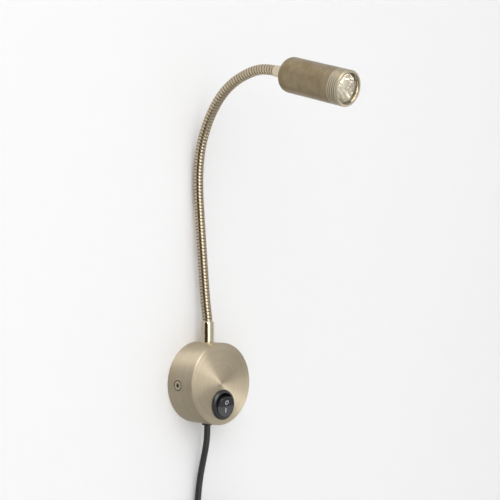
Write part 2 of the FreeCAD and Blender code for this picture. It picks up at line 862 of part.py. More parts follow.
def stretch_shape(start, end, tenon_before, tenon_after):
    """One ribbed length of the gooseneck, with a plain tenon where a ferrule holds it."""
    low = float(size("neck_groove"))
    high = float(neck_radius)
    usual = (neck_long / (STRETCHES - 1) - float(size("neck_gap"))) / RIBS
    count = max(1, round((end - start) / usual))
    pitch = (end - start) / count
    stations = [(start + (rib + share) * pitch, low + (high - low) * rise)
                for rib in range(count) for share, rise in RIB_PROFILE]
    stations.append((end, low))
    if tenon_before:
        stations[0] = (start, high)
        stations.insert(0, (start - tenon_before, high))
    if tenon_after:
        stations[-1] = (end, high)
        stations.append((end + tenon_after, high))
    outer = Part.makeLoft([ring(*item) for item in stations], True, True)
    first = start - tenon_before - 1
    last = end + tenon_after + 1
    marks = [first + (last - first) * part / BORE_PARTS for part in range(BORE_PARTS + 1)]
    bore = Part.makeLoft([ring(mark, neck_bore) for mark in marks], True, True)
    return outer.cut(bore)


def gooseneck():
    """The flexible tube as short ribbed stretches, one to each hinge."""
    half_gap = float(size("neck_gap")) / 2
    socket = float(size("ferrule_socket")) - 0.2
    for index in range(STRETCHES):
        start = hinge_at(index) + half_gap if index else 0.0
        end = hinge_at(index + 1) - half_gap if index < STRETCHES - 1 else neck_long
        before = socket if index == 0 else 0.0
        after = socket if index == STRETCHES - 1 else 0.0
        name = "gooseneck_%02d" % (index + 1)
        node(feature(name, stretch_shape(start, end, before, after)))
    for index in range(1, STRETCHES):
        point, along = station(hinge_at(index))
        print("hinge %02d pos %.3f %.3f %.3f along %.5f %.5f %.5f"
              % (index, point.x, point.y, point.z, along.x, along.y, along.z))


# ------------------------------------------------------------------- head
head_origin = neck_end.add(FreeCAD.Vector(head_out).multiply(float(size("upper_ferrule_long"))))
HEAD = frame(head_origin, 90 + head_tilt)
head_radius = size("head_radius")
head_bore = head_radius - size("head_wall")
head_long = size("head_long")
bezel_start = head_long - size("bezel_long")
spigot_radius = head_radius - 0.8
lip_back = head_long - size("bezel_lip")
lens_back = lip_back - size("lens_thick")
spigot_end = lens_back - size("gasket_thick")
board_front = spigot_end - size("reflector_deep")
board_back = board_front - size("board_thick")
sink_back = board_back - size("sink_long")
sink_radius = head_bore - 0.1


def arc_corners(centre_radius, centre_height, radius, first, last, steps):
    """Corners along a round edge, in degrees from the outward direction."""
    corners = []
    for step in range(steps + 1):
        angle = math.radians(first + (last - first) * step / steps)
        corners.append((centre_radius + radius * math.cos(angle), centre_height + radius * math.sin(angle)))
    return corners


def head_barrel():
    """The head's tube with its rounded back and the spigot that the front ring screws on."""
    round_edge = size("head_round")
    back = size("head_back")
    corners = [(stem_radius + fit, 0)]
    corners += arc_corners(head_radius - round_edge, round_edge, round_edge, -90, 0, 8)
    corners += [
        (head_radius, bezel_start),
        (spigot_radius, bezel_start),
        (spigot_radius, spigot_end),
        (head_bore, spigot_end),
        (head_bore, back + 3.4),
        (head_bore - 3.4, back),
        (stem_radius + fit, back),
    ]
    node(put(turned("head_barrel", corners), HEAD))


def head_bezel():
    """The grooved front ring, with the lip that keeps the lens in."""
    depth = size("bezel_groove")
    opening = size("bezel_opening")
    inner = spigot_radius + fit
    corners = [(inner, bezel_start + 0.15), (head_radius, bezel_start + 0.15)]
    for rib in range(4):
        start = bezel_start + 1.3 + 1.75 * rib
        corners += [
            (head_radius, start),
            (head_radius - depth, start + 0.25),
            (head_radius - depth, start + 0.5),
            (head_radius, start + 0.75),
        ]
    corners += arc_corners(head_radius - 0.9, head_long - 0.9, measure(0.9), 0, 90, 4)
    corners += [
        (opening + 0.5, head_long),
        (opening, head_long - 0.5),
        (opening, lip_back),
        (inner, lip_back),
    ]
    node(put(turned("head_bezel", corners), HEAD))


def head_optics():
    """Lens, gasket, reflector, light board and emitter, from the front backwards."""
    lens_radius = size("lens_radius")
    lens = put(rod("front_lens", lens_radius, size("lens_thick")), HEAD, 0, 0, lens_back)
    node(lens)
    seal_radius = head_bore + fit
    gasket = turned("lens_gasket", [
        (lens_radius - 1.2, spigot_end),
        (seal_radius, spigot_end),
        (seal_radius, lens_back),
        (lens_radius - 1.2, lens_back),
    ])
    node(put(gasket, HEAD))
    wall = size("reflector_wall")
    neck = 3.4
    mouth = 10.2
    steps = 8
    deep = size("reflector_deep") - wall
    inside = []
    outside = []
    for step in range(steps + 1):
        share = step / steps
        radius = neck + (mouth - neck) * math.sqrt(share)
        inside.append((measure(radius), board_front + 0.6 + (deep - 0.6) * share))
        outside.append((radius + wall, board_front + 0.6 + (deep - 0.6) * share))
    corners = [(measure(neck), board_front)] + inside
    corners += [(measure(mouth), spigot_end), (sink_radius, spigot_end), (sink_radius, spigot_end - wall)]
    corners += outside[-2::-1]
    corners += [(neck + wall, board_front)]
    node(put(turned("reflector", corners), HEAD))
    board = put(rod("board_disc", size("board_radius"), size("board_thick")), HEAD, 0, 0, board_back)
    tools = []
    screws = []
    for side in (-1, 1):
        name = "right" if side > 0 else "left"
        tools.append(put(rod("board_hole_" + name, 1.05, 6), HEAD, side * 7.4, 0, board_back - 2))
        screw = turned("board_screw_" + name, [
            (0, -4.5),
            (1.0, -4.5),
            (1.0, 0),
            (1.8, 0),
            (1.8, 1.0),
            (1.4, 1.3),
            (0, 1.3),
        ])
        screws.append(put(screw, HEAD, side * 7.4, 0, board_front))
    node(cut("led_board", board, *tools))
    node(group("board_screws", *screws))
    emitter = turned("led_emitter", [
        (0, 0),
        (2.6, 0),
        (2.6, 0.7),
        (1.9, 0.7),
        (1.65, 1.65),
        (0.95, 2.35),
        (0, 2.6),
    ])
    node(put(emitter, HEAD, 0, 0, board_front))


def heat_sink():
    """The turned aluminium slug behind the board, with three cooling grooves and a wire hole."""
    corners = [(1.7, sink_back), (sink_radius, sink_back)]
    pitch = size("sink_long") / 5
    for fin in range(1, 4):
        middle = sink_back + pitch * fin
        corners += [
            (sink_radius, middle - pitch / 4),
            (sink_radius - 4, middle - pitch / 4),
            (sink_radius - 4, middle + pitch / 4),
            (sink_radius, middle + pitch / 4),
        ]
    corners += [(sink_radius, board_back), (1.7, board_back)]
    body = put(turned("sink_body", corners), HEAD)
    tools = []
    for side in (-1, 1):
        name = "sink_thread_right" if side > 0 else "sink_thread_left"
        tools.append(put(rod(name, 1.05, 6), HEAD, side * 7.4, 0, board_back - 4))
    node(cut("heat_sink", body, *tools))


def upper_ferrule():
    """The slim ferrule on the head, its nut inside the head and the leads to the board."""
    radius = neck_radius + fit + size("upper_ferrule_wall")
    long = size("upper_ferrule_long")
    bevel = size("ferrule_bevel") / 3
    socket = size("ferrule_socket") - long
    stem_front = size("head_back") + size("washer_thick") + size("nut_thick") + 1.2
    body = turned("upper_ferrule", [
        (neck_radius + fit, -long),
        (radius - bevel, -long),
        (radius, -long + bevel),
        (radius, -4),
        (radius + 1.2, -3),
        (radius + 1.2, 0),
        (stem_radius, 0),
        (stem_radius, stem_front),
        (neck_bore, stem_front),
        (neck_bore, socket),
        (neck_radius + fit, socket),
    ])
    node(put(body, HEAD))
    low = size("head_back")
    flange = put(rod("head_nut_flange", nut_corner, size("washer_thick")), HEAD, 0, 0, low)
    hexagon = prism("head_nut_blank", 6, nut_corner, size("nut_thick"))
    put(hexagon, HEAD, 0, 0, low + size("washer_thick"))
    bore = put(rod("head_nut_bore", stem_radius + fit, size("nut_thick") * 3), HEAD, 0, 0,
               low - size("nut_thick"))
    node(cut("head_nut", fused("head_nut_whole", flange, hexagon), bore))
    leads = []
    for side in (-1, 1):
        lead = rod("head_lead_%d" % (side + 1), size("thin_lead_radius"), board_back + long - 2)
        leads.append(put(lead, HEAD, side * 0.8, 0, -long + 2))
    node(group("head_leads", *leads))


# ------------------------------------------------------------------- cord
cord_radius = size("cord_radius")
gland_out = drum_radius + size("gland_flange")


def cord_gland():
    """The small flanged bush in the base's lower edge, and the cord's end inside it."""
    flange = size("gland_radius")
    body = turned("gland_body", [
        (cord_radius + fit, 28.6),
        (gland_neck - 0.05, 28.6),
        (gland_neck - 0.05, drum_bore + 0.4),
        (flange, drum_bore + 0.4),
        (flange, gland_out - 0.35),
        (flange - 0.35, gland_out),
        (cord_radius + fit, gland_out),
    ])
    put(body, frame(vector(0, 0, 0), 180), 0, plane, 0)
    drum = put(rod("gland_saddle", drum_radius, 30), BASE, 0, 0, plane - 15)
    column = rod("gland_column", gland_neck - 0.05, drum_radius * 2)
    put(column, UPRIGHT, 0, -plane, -drum_radius * 2)
    node(cut("cord_gland", body, cut("gland_saddle_cut", drum, column)))
    tail = rod("cord_tail", cord_radius, gland_out - TAIL_INSIDE)
    node(put(tail, UPRIGHT, 0, -plane, -gland_out))


gland_mouth = vector(0, -plane, -gland_out)
coil_pitch = float(size("coil_pitch"))
coil_total = float(size("coil_turns")) * 2 * math.pi
layer_angle = coil_total / COIL_LAYERS
coil_spread = coil_pitch * layer_angle / (2 * math.pi)
coil_outer = float(size("coil_radius")) + coil_spread / 2


def route_from(origin, offsets):
    return [origin.add(vector(*offset)) for offset in offsets]


# The coil starts where the hanging stretch ends, at COIL_START degrees round its
# middle, and runs anticlockwise as seen from the front.
hanging = route_from(gland_mouth, CORD_ROUTE)
coil_into = hanging[-1].sub(hanging[-2]).normalize()
coil_first = hanging[-1].add(FreeCAD.Vector(coil_into).multiply(float(cord_radius) * 2))
coil_middle = coil_first.sub(vector(math.cos(COIL_START), 0, math.sin(COIL_START)).multiply(coil_outer))


def coil_point(angle):
    """A point of the coil's middle line. The angle, in radians, counts up along the cord.

    In each layer the loops spiral in or out at a steady rate, and the cord climbs
    to the next layer in the half turn where the spiral reverses.
    """
    layer = min(int(angle / layer_angle), COIL_LAYERS - 1)
    share = angle / layer_angle - layer
    drawn_in = share if layer % 2 == 0 else 1 - share
    radius = coil_outer - coil_spread * drawn_in
    climb = layer
    for border in range(1, COIL_LAYERS):
        along = (angle - border * layer_angle) / math.pi + 0.5
        if 0 <= along <= 1:
            climb = border - 1 + (1 - math.cos(math.pi * along)) / 2
    turn = COIL_START + angle
    away = vector(radius * math.cos(turn), -coil_pitch * climb, radius * math.sin(turn))
    return coil_middle.add(away)


def coil_path():
    """The coil's middle line as biarcs of about a quarter turn, with straight ends."""
    quarters = int(round(coil_total / (math.pi / 2)))
    step = coil_total / quarters
    small = 1e-4
    points = [coil_point(index * step) for index in range(quarters + 1)]
    alongs = []
    for index in range(quarters + 1):
        low = max(0.0, index * step - small)
        high = min(coil_total, index * step + small)
        alongs.append(coil_point(high).sub(coil_point(low)).normalize())
    alongs[0] = coil_into
    alongs[-1] = vector(0, 0, -1)
    return arc_path(points, alongs, float(cord_radius) * 2)


def least_gap(path, radius):
    """The least gap of a wound tube to itself, on points spaced evenly along it."""
    spacing = radius / 2
    points = path.discretize(Number=int(path.Length / spacing))
    away = int(5 * radius / spacing)
    least = min(first.distanceToPoint(second)
                for index, first in enumerate(points) for second in points[index + away:])
    return least - 2 * radius


def power_cord():
    """The hanging cord, the stored coil with its tie, and the stretch down to the plug."""
    radius = float(cord_radius)
    node(feature("power_cord", tube_shape("power_cord", hanging, radius)))
    path = coil_path()
    coil = swept(path, radius)
    exact = math.pi * radius ** 2 * path.Length
    print("cord_coil: length %.1f, least gap %.2f, volume / (section x length) %.4f"
          % (path.Length, least_gap(path, radius), coil.Volume / exact))
    node(feature("cord_coil", coil))
    coil_last = coil_point(coil_total).add(vector(0, 0, -radius * 2))
    drop = route_from(coil_last, PLUG_ROUTE)
    node(feature("plug_lead", tube_shape("plug_lead", drop, radius)))
    return drop[-1]


def coil_tie():
    """The flat strap round the bundle at the foot of the coil."""
    pitch = size("coil_pitch")
    tall = pitch * size("coil_turns") / COIL_LAYERS + cord_radius * 2 + 0.8
    deep = pitch * (COIL_LAYERS - 1) + cord_radius * 2 + 0.8
    thick = 0.9
    bundle = coil_middle.add(vector(0, -coil_pitch * (COIL_LAYERS - 1) / 2, -float(size("coil_radius"))))
    place = frame(bundle, 0)
    outer = put(block("tie_outer", 6, deep + thick * 2, tall + thick * 2), place,
                -3, -deep / 2 - thick, -tall / 2 - thick)
    inner = put(block("tie_inner", 8, deep, tall), place, -4, -deep / 2, -tall / 2)
    node(cut("coil_tie", outer, inner))


def stadium(wide, thick, height):
    """A wire with two straight sides and two round ends, at a height."""
    radius = thick / 2
    straight = wide / 2 - radius
    corners = [vector(-straight, -radius, height), vector(straight, -radius, height),
               vector(straight, radius, height), vector(-straight, radius, height)]
    edges = [
        Part.LineSegment(corners[0], corners[1]).toShape(),
        Part.Arc(corners[1], vector(wide / 2, 0, height), corners[2]).toShape(),
        Part.LineSegment(corners[2], corners[3]).toShape(),
        Part.Arc(corners[3], vector(-wide / 2, 0, height), corners[0]).toShape(),
    ]
    return Part.Wire(edges)


def mains_plug(top):
    """The flat two-pin plug hanging pins down: body, sleeved pins."""
    wide = float(size("plug_wide"))
    thick = float(size("plug_thick"))
    long = float(size("plug_long"))
    relief = 14.0
    sections = [stadium(8.4, 7.4, 0), stadium(9.6, 8.2, -relief), stadium(15.0, 11.0, -relief - 3),
                stadium(wide - 3, thick, -relief - 9), stadium(wide, thick, -long)]
    body = Part.makeLoft(sections, True, True)
    spacing = float(size("pin_spacing"))
    pin_long = float(size("pin_long"))
    pin_radius = float(size("pin_radius"))
    sleeve_long = float(size("sleeve_long"))
    sleeve_radius = float(size("sleeve_radius"))
    core_radius = pin_radius * 0.75
    rooted = 6.0
    pins = []
    sleeves = []
    for side in (-1, 1):
        x = side * spacing / 2
        low = vector(x, 0, -long - sleeve_long)
        end = vector(x, 0, -long - pin_long)
        up = vector(0, 0, 1)
        body = body.cut(Part.makeCylinder(sleeve_radius, rooted, vector(x, 0, -long), up))
        core = Part.makeCylinder(core_radius, sleeve_long + rooted, low, up)
        pin = core.fuse(Part.makeCylinder(pin_radius, pin_long - sleeve_long, end, up))
        rim = [edge for edge in pin.Edges if abs(edge.BoundBox.ZMax + long + pin_long) < 1e-6]
        pins.append(pin.makeFillet(pin_radius * 0.6, rim))
        sleeves.append(Part.makeCylinder(sleeve_radius, sleeve_long + rooted, low, up).cut(core))
    for name, shape in (("plug_body", body), ("plug_pins", Part.Compound(pins)),
                        ("plug_sleeves", Part.Compound(sleeves))):
        item = feature(name, shape)
        item.Placement = frame(top, 0)
        node(item)


base_housing()
wall_bracket()
side_screws()
switch_body()
switch_rocker()
switch_contacts()
led_driver()
terminal_block()
wiring()
lower_ferrule()
neck_nut()
gooseneck()
head_barrel()
head_bezel()
head_optics()
heat_sink()
upper_ferrule()
cord_gland()
mains_plug(power_cord())
coil_tie()

doc.recompute()

for item in doc.Objects:
    if "Invalid" in item.State or "Error" in item.State:
        raise RuntimeError("%s did not build: %s" % (item.Name, item.State))
for item in nodes:
    if item.Shape.isNull() or not item.Shape.isValid() or not item.Shape.Solids:
        raise RuntimeError("%s has no valid solid" % item.Label)

os.makedirs("parts", exist_ok=True)
for item in nodes:
    item.Shape.exportStep(os.path.join("parts", item.Label + ".step"))
print("%d nodes, neck %.1f mm, head at %.2f %.2f %.2f"
      % (len(nodes), neck_long, head_origin.x, head_origin.y, head_origin.z))
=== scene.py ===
"""Bedside wall reading lamp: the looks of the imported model, its studio and its camera."""

import json
import math

import bmesh
import bpy
import numpy as np
from mathutils import Matrix, Vector


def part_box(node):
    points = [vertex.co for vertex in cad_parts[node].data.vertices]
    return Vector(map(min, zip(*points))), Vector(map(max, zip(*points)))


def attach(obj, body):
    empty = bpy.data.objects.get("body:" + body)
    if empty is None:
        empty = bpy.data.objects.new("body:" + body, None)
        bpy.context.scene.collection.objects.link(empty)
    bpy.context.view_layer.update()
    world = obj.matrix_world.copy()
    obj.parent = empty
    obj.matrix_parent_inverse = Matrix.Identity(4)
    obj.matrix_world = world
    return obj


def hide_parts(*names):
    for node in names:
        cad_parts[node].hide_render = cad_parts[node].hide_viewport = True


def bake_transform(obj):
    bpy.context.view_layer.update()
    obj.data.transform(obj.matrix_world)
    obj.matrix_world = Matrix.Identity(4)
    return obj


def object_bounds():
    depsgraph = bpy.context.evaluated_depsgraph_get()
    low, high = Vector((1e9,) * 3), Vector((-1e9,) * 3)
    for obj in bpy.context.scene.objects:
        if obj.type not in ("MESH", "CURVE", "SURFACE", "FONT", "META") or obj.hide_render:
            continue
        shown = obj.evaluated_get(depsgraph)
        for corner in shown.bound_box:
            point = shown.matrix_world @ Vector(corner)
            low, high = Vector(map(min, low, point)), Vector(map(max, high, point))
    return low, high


bl_info = {
    "name": "Bedside wall reading lamp",
    "version": (1, 0, 0),
    "blender": (4, 5, 0),
    "location": "View3D > Sidebar > Reading lamp",
    "description": "Finishes the reading lamp's base, gooseneck, head and cord, and lights them",
    "category": "Object",
}

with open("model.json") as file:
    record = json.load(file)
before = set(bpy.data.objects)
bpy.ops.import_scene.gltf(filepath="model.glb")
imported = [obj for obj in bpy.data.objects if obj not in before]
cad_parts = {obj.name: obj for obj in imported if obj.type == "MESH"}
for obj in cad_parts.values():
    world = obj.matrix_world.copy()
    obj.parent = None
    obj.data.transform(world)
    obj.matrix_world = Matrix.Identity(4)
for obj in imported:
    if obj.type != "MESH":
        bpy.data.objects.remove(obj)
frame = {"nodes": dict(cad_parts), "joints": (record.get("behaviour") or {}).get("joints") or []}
cad_low, cad_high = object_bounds()
MM = 0.001

# Where the lamp's own pieces are, in metres, worked out from the frame.
neck_joints = [joint for joint in frame["joints"] if joint["name"].startswith("neck_")]
rocker_pivot = next(joint["pos_m"] for joint in frame["joints"] if joint["name"] == "rocker_tilt")
ferrule_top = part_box("lower_ferrule")[1].z
gland_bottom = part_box("cord_gland")[0].z
tail_low, tail_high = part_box("cord_tail")
lens_low, lens_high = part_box("front_lens")
# The plane beside the wall that holds the lines of the ferrule, screws and gland.
FEATURE_PLANE = (tail_low.y + tail_high.y) / 2
NECK_MOUTH = Vector((0.0, FEATURE_PLANE, ferrule_top))
CORD_DIAMETER = tail_high.x - tail_low.x
# The head points out and down. Heights in it run from its rear face to its front.
HEAD_TILT = math.radians(15.7)
HEAD_OUT = Vector((0.0, -math.cos(HEAD_TILT), -math.sin(HEAD_TILT)))
FERRULE_LENGTH = 12.2 * MM
LENS_CENTRE = (lens_low + lens_high) / 2
LENS_HEIGHT = 57.65 * MM
NECK_END = LENS_CENTRE - HEAD_OUT * (LENS_HEIGHT + FERRULE_LENGTH)

# The camera, fitted to the photograph: metres, radians and millimetres of lens.
CAMERA_PLACE = (-0.68986, -0.71575, 0.10082)
CAMERA_YAW = -0.80902
CAMERA_PITCH = -0.00367
CAMERA_LENS = 90.0
SENSOR_WIDTH = 36.0
CAMERA_REACH = 20.0

# Points to a stretch of a smooth line, the reach that welds points, and the sharpest
# edge, in degrees, that is still shaded smooth.
SPLINE_STEPS = 64
WELD_REACH = 1e-7
SMOOTH_EDGE = 30
# Turned metal: how broad the broad lines are against the fine, the patches' scale and
# limits, how far the lines swing the roughness, and how deep lines and grain lie.
BROAD_SHARE = 0.12
PATCH_SCALE = 90.0
PATCH_LIMITS = (0.38, 0.62)
GLOSS_SWING = 0.05
LINE_DEEP = 0.006 * MM
FINE_DEEP = 0.002 * MM
GRAIN_DEEP = 0.01 * MM

# The cord's hanging stretch, from the gland's mouth: down, back to the wall, and aside.
CORD_ROUTE = [
    (0.0, 0.0, 0.0),
    (0.0, 0.0, -0.0077),
    (-0.0003, 0.0011, -0.0167),
    (-0.0009, 0.0032, -0.0267),
    (-0.0019, 0.0052, -0.0377),
    (-0.0029, 0.0065, -0.0492),
    (-0.0036, 0.0071, -0.0612),
    (-0.0054, 0.0072, -0.0712),
    (-0.0105, 0.0072, -0.0802),
    (-0.0175, 0.0072, -0.0872),
]
# The short stretch from the coil's end down to the plug, from that end.
PLUG_ROUTE = [
    (0.0, 0.0, -0.0060),
    (0.0004, 0.0014, -0.0140),
    (0.0006, 0.0034, -0.0220),
    (0.0006, 0.0034, -0.0280),
]
# The coil: turns, layers, the angle of its first point, its middle radius, the spacing of
# its turns, and points to a turn.
COIL_TURNS = 9.125
COIL_LAYERS = 4
COIL_START = math.radians(135)
COIL_RADIUS = 28.5 * MM
COIL_PITCH = 5.6 * MM
COIL_POINTS = 20
# The reflector's cup in the head: its floor's height, its depth, its radii, its wall,
# the lip under its lowest row, and how many facets go round and up it.
CUP_FLOOR = 41.0 * MM
CUP_DEPTH = 15.1 * MM
CUP_NECK = 3.4 * MM
CUP_MOUTH = 10.2 * MM
CUP_WALL = 0.8 * MM
CUP_RIM = 11.5 * MM
CUP_LIP = 0.6 * MM
CUP_FACETS = 14
CUP_ROWS = 5
# The gooseneck's surface: points along its line, points to a rib and round it, its bore,
# the power that shapes a rib, and the least swell that the rib's slope is worked out at.
NECK_SPOTS = 4000
RIB_STEPS = 16
NECK_SIDES = 40
NECK_BORE = 2.4 * MM
RIB_POWER = 0.3
RIB_LEAST = 0.12
# The rocker's crest over its pivot, the slope of its two faces, its tilt at rest, and the
# marks on the faces: how far aside and down they stand, how deep they are set in, how
# high they are, and then the ring's place, radii and sides and the bar's place, half
# sizes and sides.
ROCKER_CREST = 5.4 * MM
ROCKER_SLOPE = math.radians(8)
ROCKER_TILT = math.radians(90 + 11)
MARK_ASIDE = 0.35 * MM
MARK_DOWN = 0.2 * MM
MARK_SUNK = 0.01 * MM
MARK_HIGH = 0.06 * MM
MARK_RING_PLACE = 3.4 * MM
MARK_RING_OUTER = 1.75 * MM
MARK_RING_INNER = 1.15 * MM
MARK_RING_SIDES = 40
MARK_BAR_PLACE = -2.9 * MM
MARK_BAR_WIDE = 0.42 * MM
MARK_BAR_LONG = 1.8 * MM
MARK_BAR_SIDES = 32
# Where the side screw's countersink and its socket lie, as radii. Both are painted shade: a dark
# ring round the screw's rim in its countersink, and a darker socket.
SCREW_SINK_SHADE = (3.4 * MM, 9.0 * MM)
SCREW_SOCKET_SHADE = (0.0, 2.2 * MM)
# The front ring's zones: radii and heights in millimetres, soft edge, tone, roughness. The third
# zone, a thin dark line round the opening's edge, is painted shade.
FRONT_ZONES = (
    ((12.0, 13.12), (45.65, 59.0), 0.06, "dark", 0.5),
    ((11.3, 13.3), (59.9, 61.0), 0.1, "polished", 0.3),
    # Painted shade: a thin dark line round the opening's edge.
    ((10.95, 11.35), (59.7, 61.0), 0.1, "dark", 0.4),
    ((0.0, 10.98), (45.65, 59.85), 0.05, "polished", 0.25),
)
# The studio, in metres: how far the wall and floor reach, the gap behind the lamp, the
# floor's drop below it, the key light's place, size and target, and the point that the
# mirrored cards face.
REACH = 3.0
WALL_GAP = 0.0003
FLOOR_DROP = 0.22
KEY_PLACE = (-0.85, -1.9, 1.35)
KEY_SIZE = (1.8, 3.4)
KEY_TARGET = Vector((0.0, -0.06, 0.10))
CARD_MIDDLE = Vector((0.0, 0.0, 0.04))
# The cards that shiny surfaces mirror: azimuth and climb in degrees, distance, half
# width and half height in metres, glow, the share of the card level in it, and tint.
CARDS = {
    "dark_card": (-152, 0.0, 1.4, 0.70, 1.2, 0.05, 0.0, (1.0, 0.7, 0.45)),
    "bright_card": (-102, 0.0, 1.3, 0.38, 0.4, 0.0, 1.0, (1.0, 1.0, 1.0)),
    "high_card": (-108, 38.0, 1.5, 0.45, 0.35, 0.0, 2.2, (1.0, 1.0, 1.0)),
    "top_card": (-136, 66.0, 1.3, 0.45, 0.3, 0.0, 0.8, (1.0, 1.0, 1.0)),
    "side_card": (-39, -24.0, 1.3, 0.3, 0.25, 0.0, 1.0, (1.0, 1.0, 1.0)),
}
# The two cards low in the room: the floor's glow, and the wall's, which goes from one
# level to another between two heights.
LOW_FLOOR_GLOW = 0.52
LOW_WALL_BOTTOM = -0.16
LOW_WALL_TOP = 0.14
LOW_WALL_GLOW = (0.33, 0.86)


# ------------------------------------------------------------ shapes from formulas
def surface(name, grid, close_along=False, normals=None, attributes=None):
    """A mesh from a grid of points, rings by places round a ring, with each ring closed.

    grid[i, j] is the point at ring i and place j. Quads join ring i to ring i + 1 and
    place j to place j + 1, round past the last place, and past the last ring where the
    rings close too.
    """
    grid = np.asarray(grid, float)
    rings, places = grid.shape[:2]
    ring = np.arange(rings if close_along else rings - 1)[:, None]
    place = np.arange(places)[None, :]
    after = (ring + 1) % rings
    beside = (place + 1) % places
    quads = np.stack([ring * places + place, ring * places + beside,
                      after * places + beside, after * places + place], axis=-1)
    mesh = bpy.data.meshes.new(name)
    mesh.from_pydata(grid.reshape(-1, 3), [], quads.reshape(-1, 4).tolist())
    mesh.polygons.foreach_set("use_smooth", np.ones(len(mesh.polygons), bool))
    for label, values in (attributes or {}).items():
        layer = mesh.attributes.new(label, "FLOAT", "POINT")
        layer.data.foreach_set("value", np.asarray(values, np.float32).ravel())
    mesh.update()
    if normals is not None:
        rows = np.asarray(normals, float).reshape(-1, 3).tolist()
        mesh.normals_split_custom_set_from_vertices(rows)
    piece = bpy.data.objects.new(name, mesh)
    bpy.context.scene.collection.objects.link(piece)
    return piece


def weld(piece):
    """Merges the points that a closed pole leaves on top of each other."""
    form = bmesh.new()
    form.from_mesh(piece.data)
    bmesh.ops.remove_doubles(form, verts=form.verts, dist=WELD_REACH)
    bmesh.ops.recalc_face_normals(form, faces=form.faces)
    form.to_mesh(piece.data)
    form.free()


def shade_by_angle(piece, degrees):
    """Smooth shading, broken at edges sharper than the angle."""
    piece.data.set_sharp_from_angle(angle=math.radians(degrees))


def smooth_line(points, first_along, last_along, count):
    """Points spaced evenly along a clamped cubic spline, with their directions.

    The directions at the given points solve the spline's tridiagonal system, each stretch
    is then the cubic with those ends, and the even spacing comes from its running length.
    """
    points = np.asarray(points, float)
    gap = np.linalg.norm(np.diff(points, axis=0), axis=1)
    size = len(points)
    system = np.eye(size)
    target = np.zeros((size, 3))
    target[0] = first_along
    target[-1] = last_along
    for i in range(1, size - 1):
        system[i, i - 1:i + 2] = gap[i], 2 * (gap[i - 1] + gap[i]), gap[i - 1]
        target[i] = 3 * (gap[i] / gap[i - 1] * (points[i] - points[i - 1])
                         + gap[i - 1] / gap[i] * (points[i + 1] - points[i]))
    slope = np.linalg.solve(system, target)
    share = np.linspace(0, 1, SPLINE_STEPS, endpoint=False)[:, None]
    fine = []
    for i in range(size - 1):
        fine.append((2 * share ** 3 - 3 * share ** 2 + 1) * points[i]
                    + (share ** 3 - 2 * share ** 2 + share) * gap[i] * slope[i]
                    + (3 * share ** 2 - 2 * share ** 3) * points[i + 1]
                    + (share ** 3 - share ** 2) * gap[i] * slope[i + 1])
    fine = np.vstack(fine + [points[-1:]])
    run = np.concatenate([[0], np.cumsum(np.linalg.norm(np.diff(fine, axis=0), axis=1))])
    even = np.linspace(0, run[-1], count)
    line = np.stack([np.interp(even, run, fine[:, axis]) for axis in range(3)], axis=1)
    along = np.gradient(line, even, axis=0)
    return line, along / np.linalg.norm(along, axis=1)[:, None], run[-1]


def head_place():
    """The head's own frame: its rear's middle, with the height axis out of its front."""
    rear = NECK_END + HEAD_OUT * FERRULE_LENGTH
    side = Vector((1.0, 0.0, 0.0))
    up = HEAD_OUT.cross(side)
    turn = Matrix((side, up, HEAD_OUT)).transposed().to_4x4()
    return Matrix.Translation(rear) @ turn


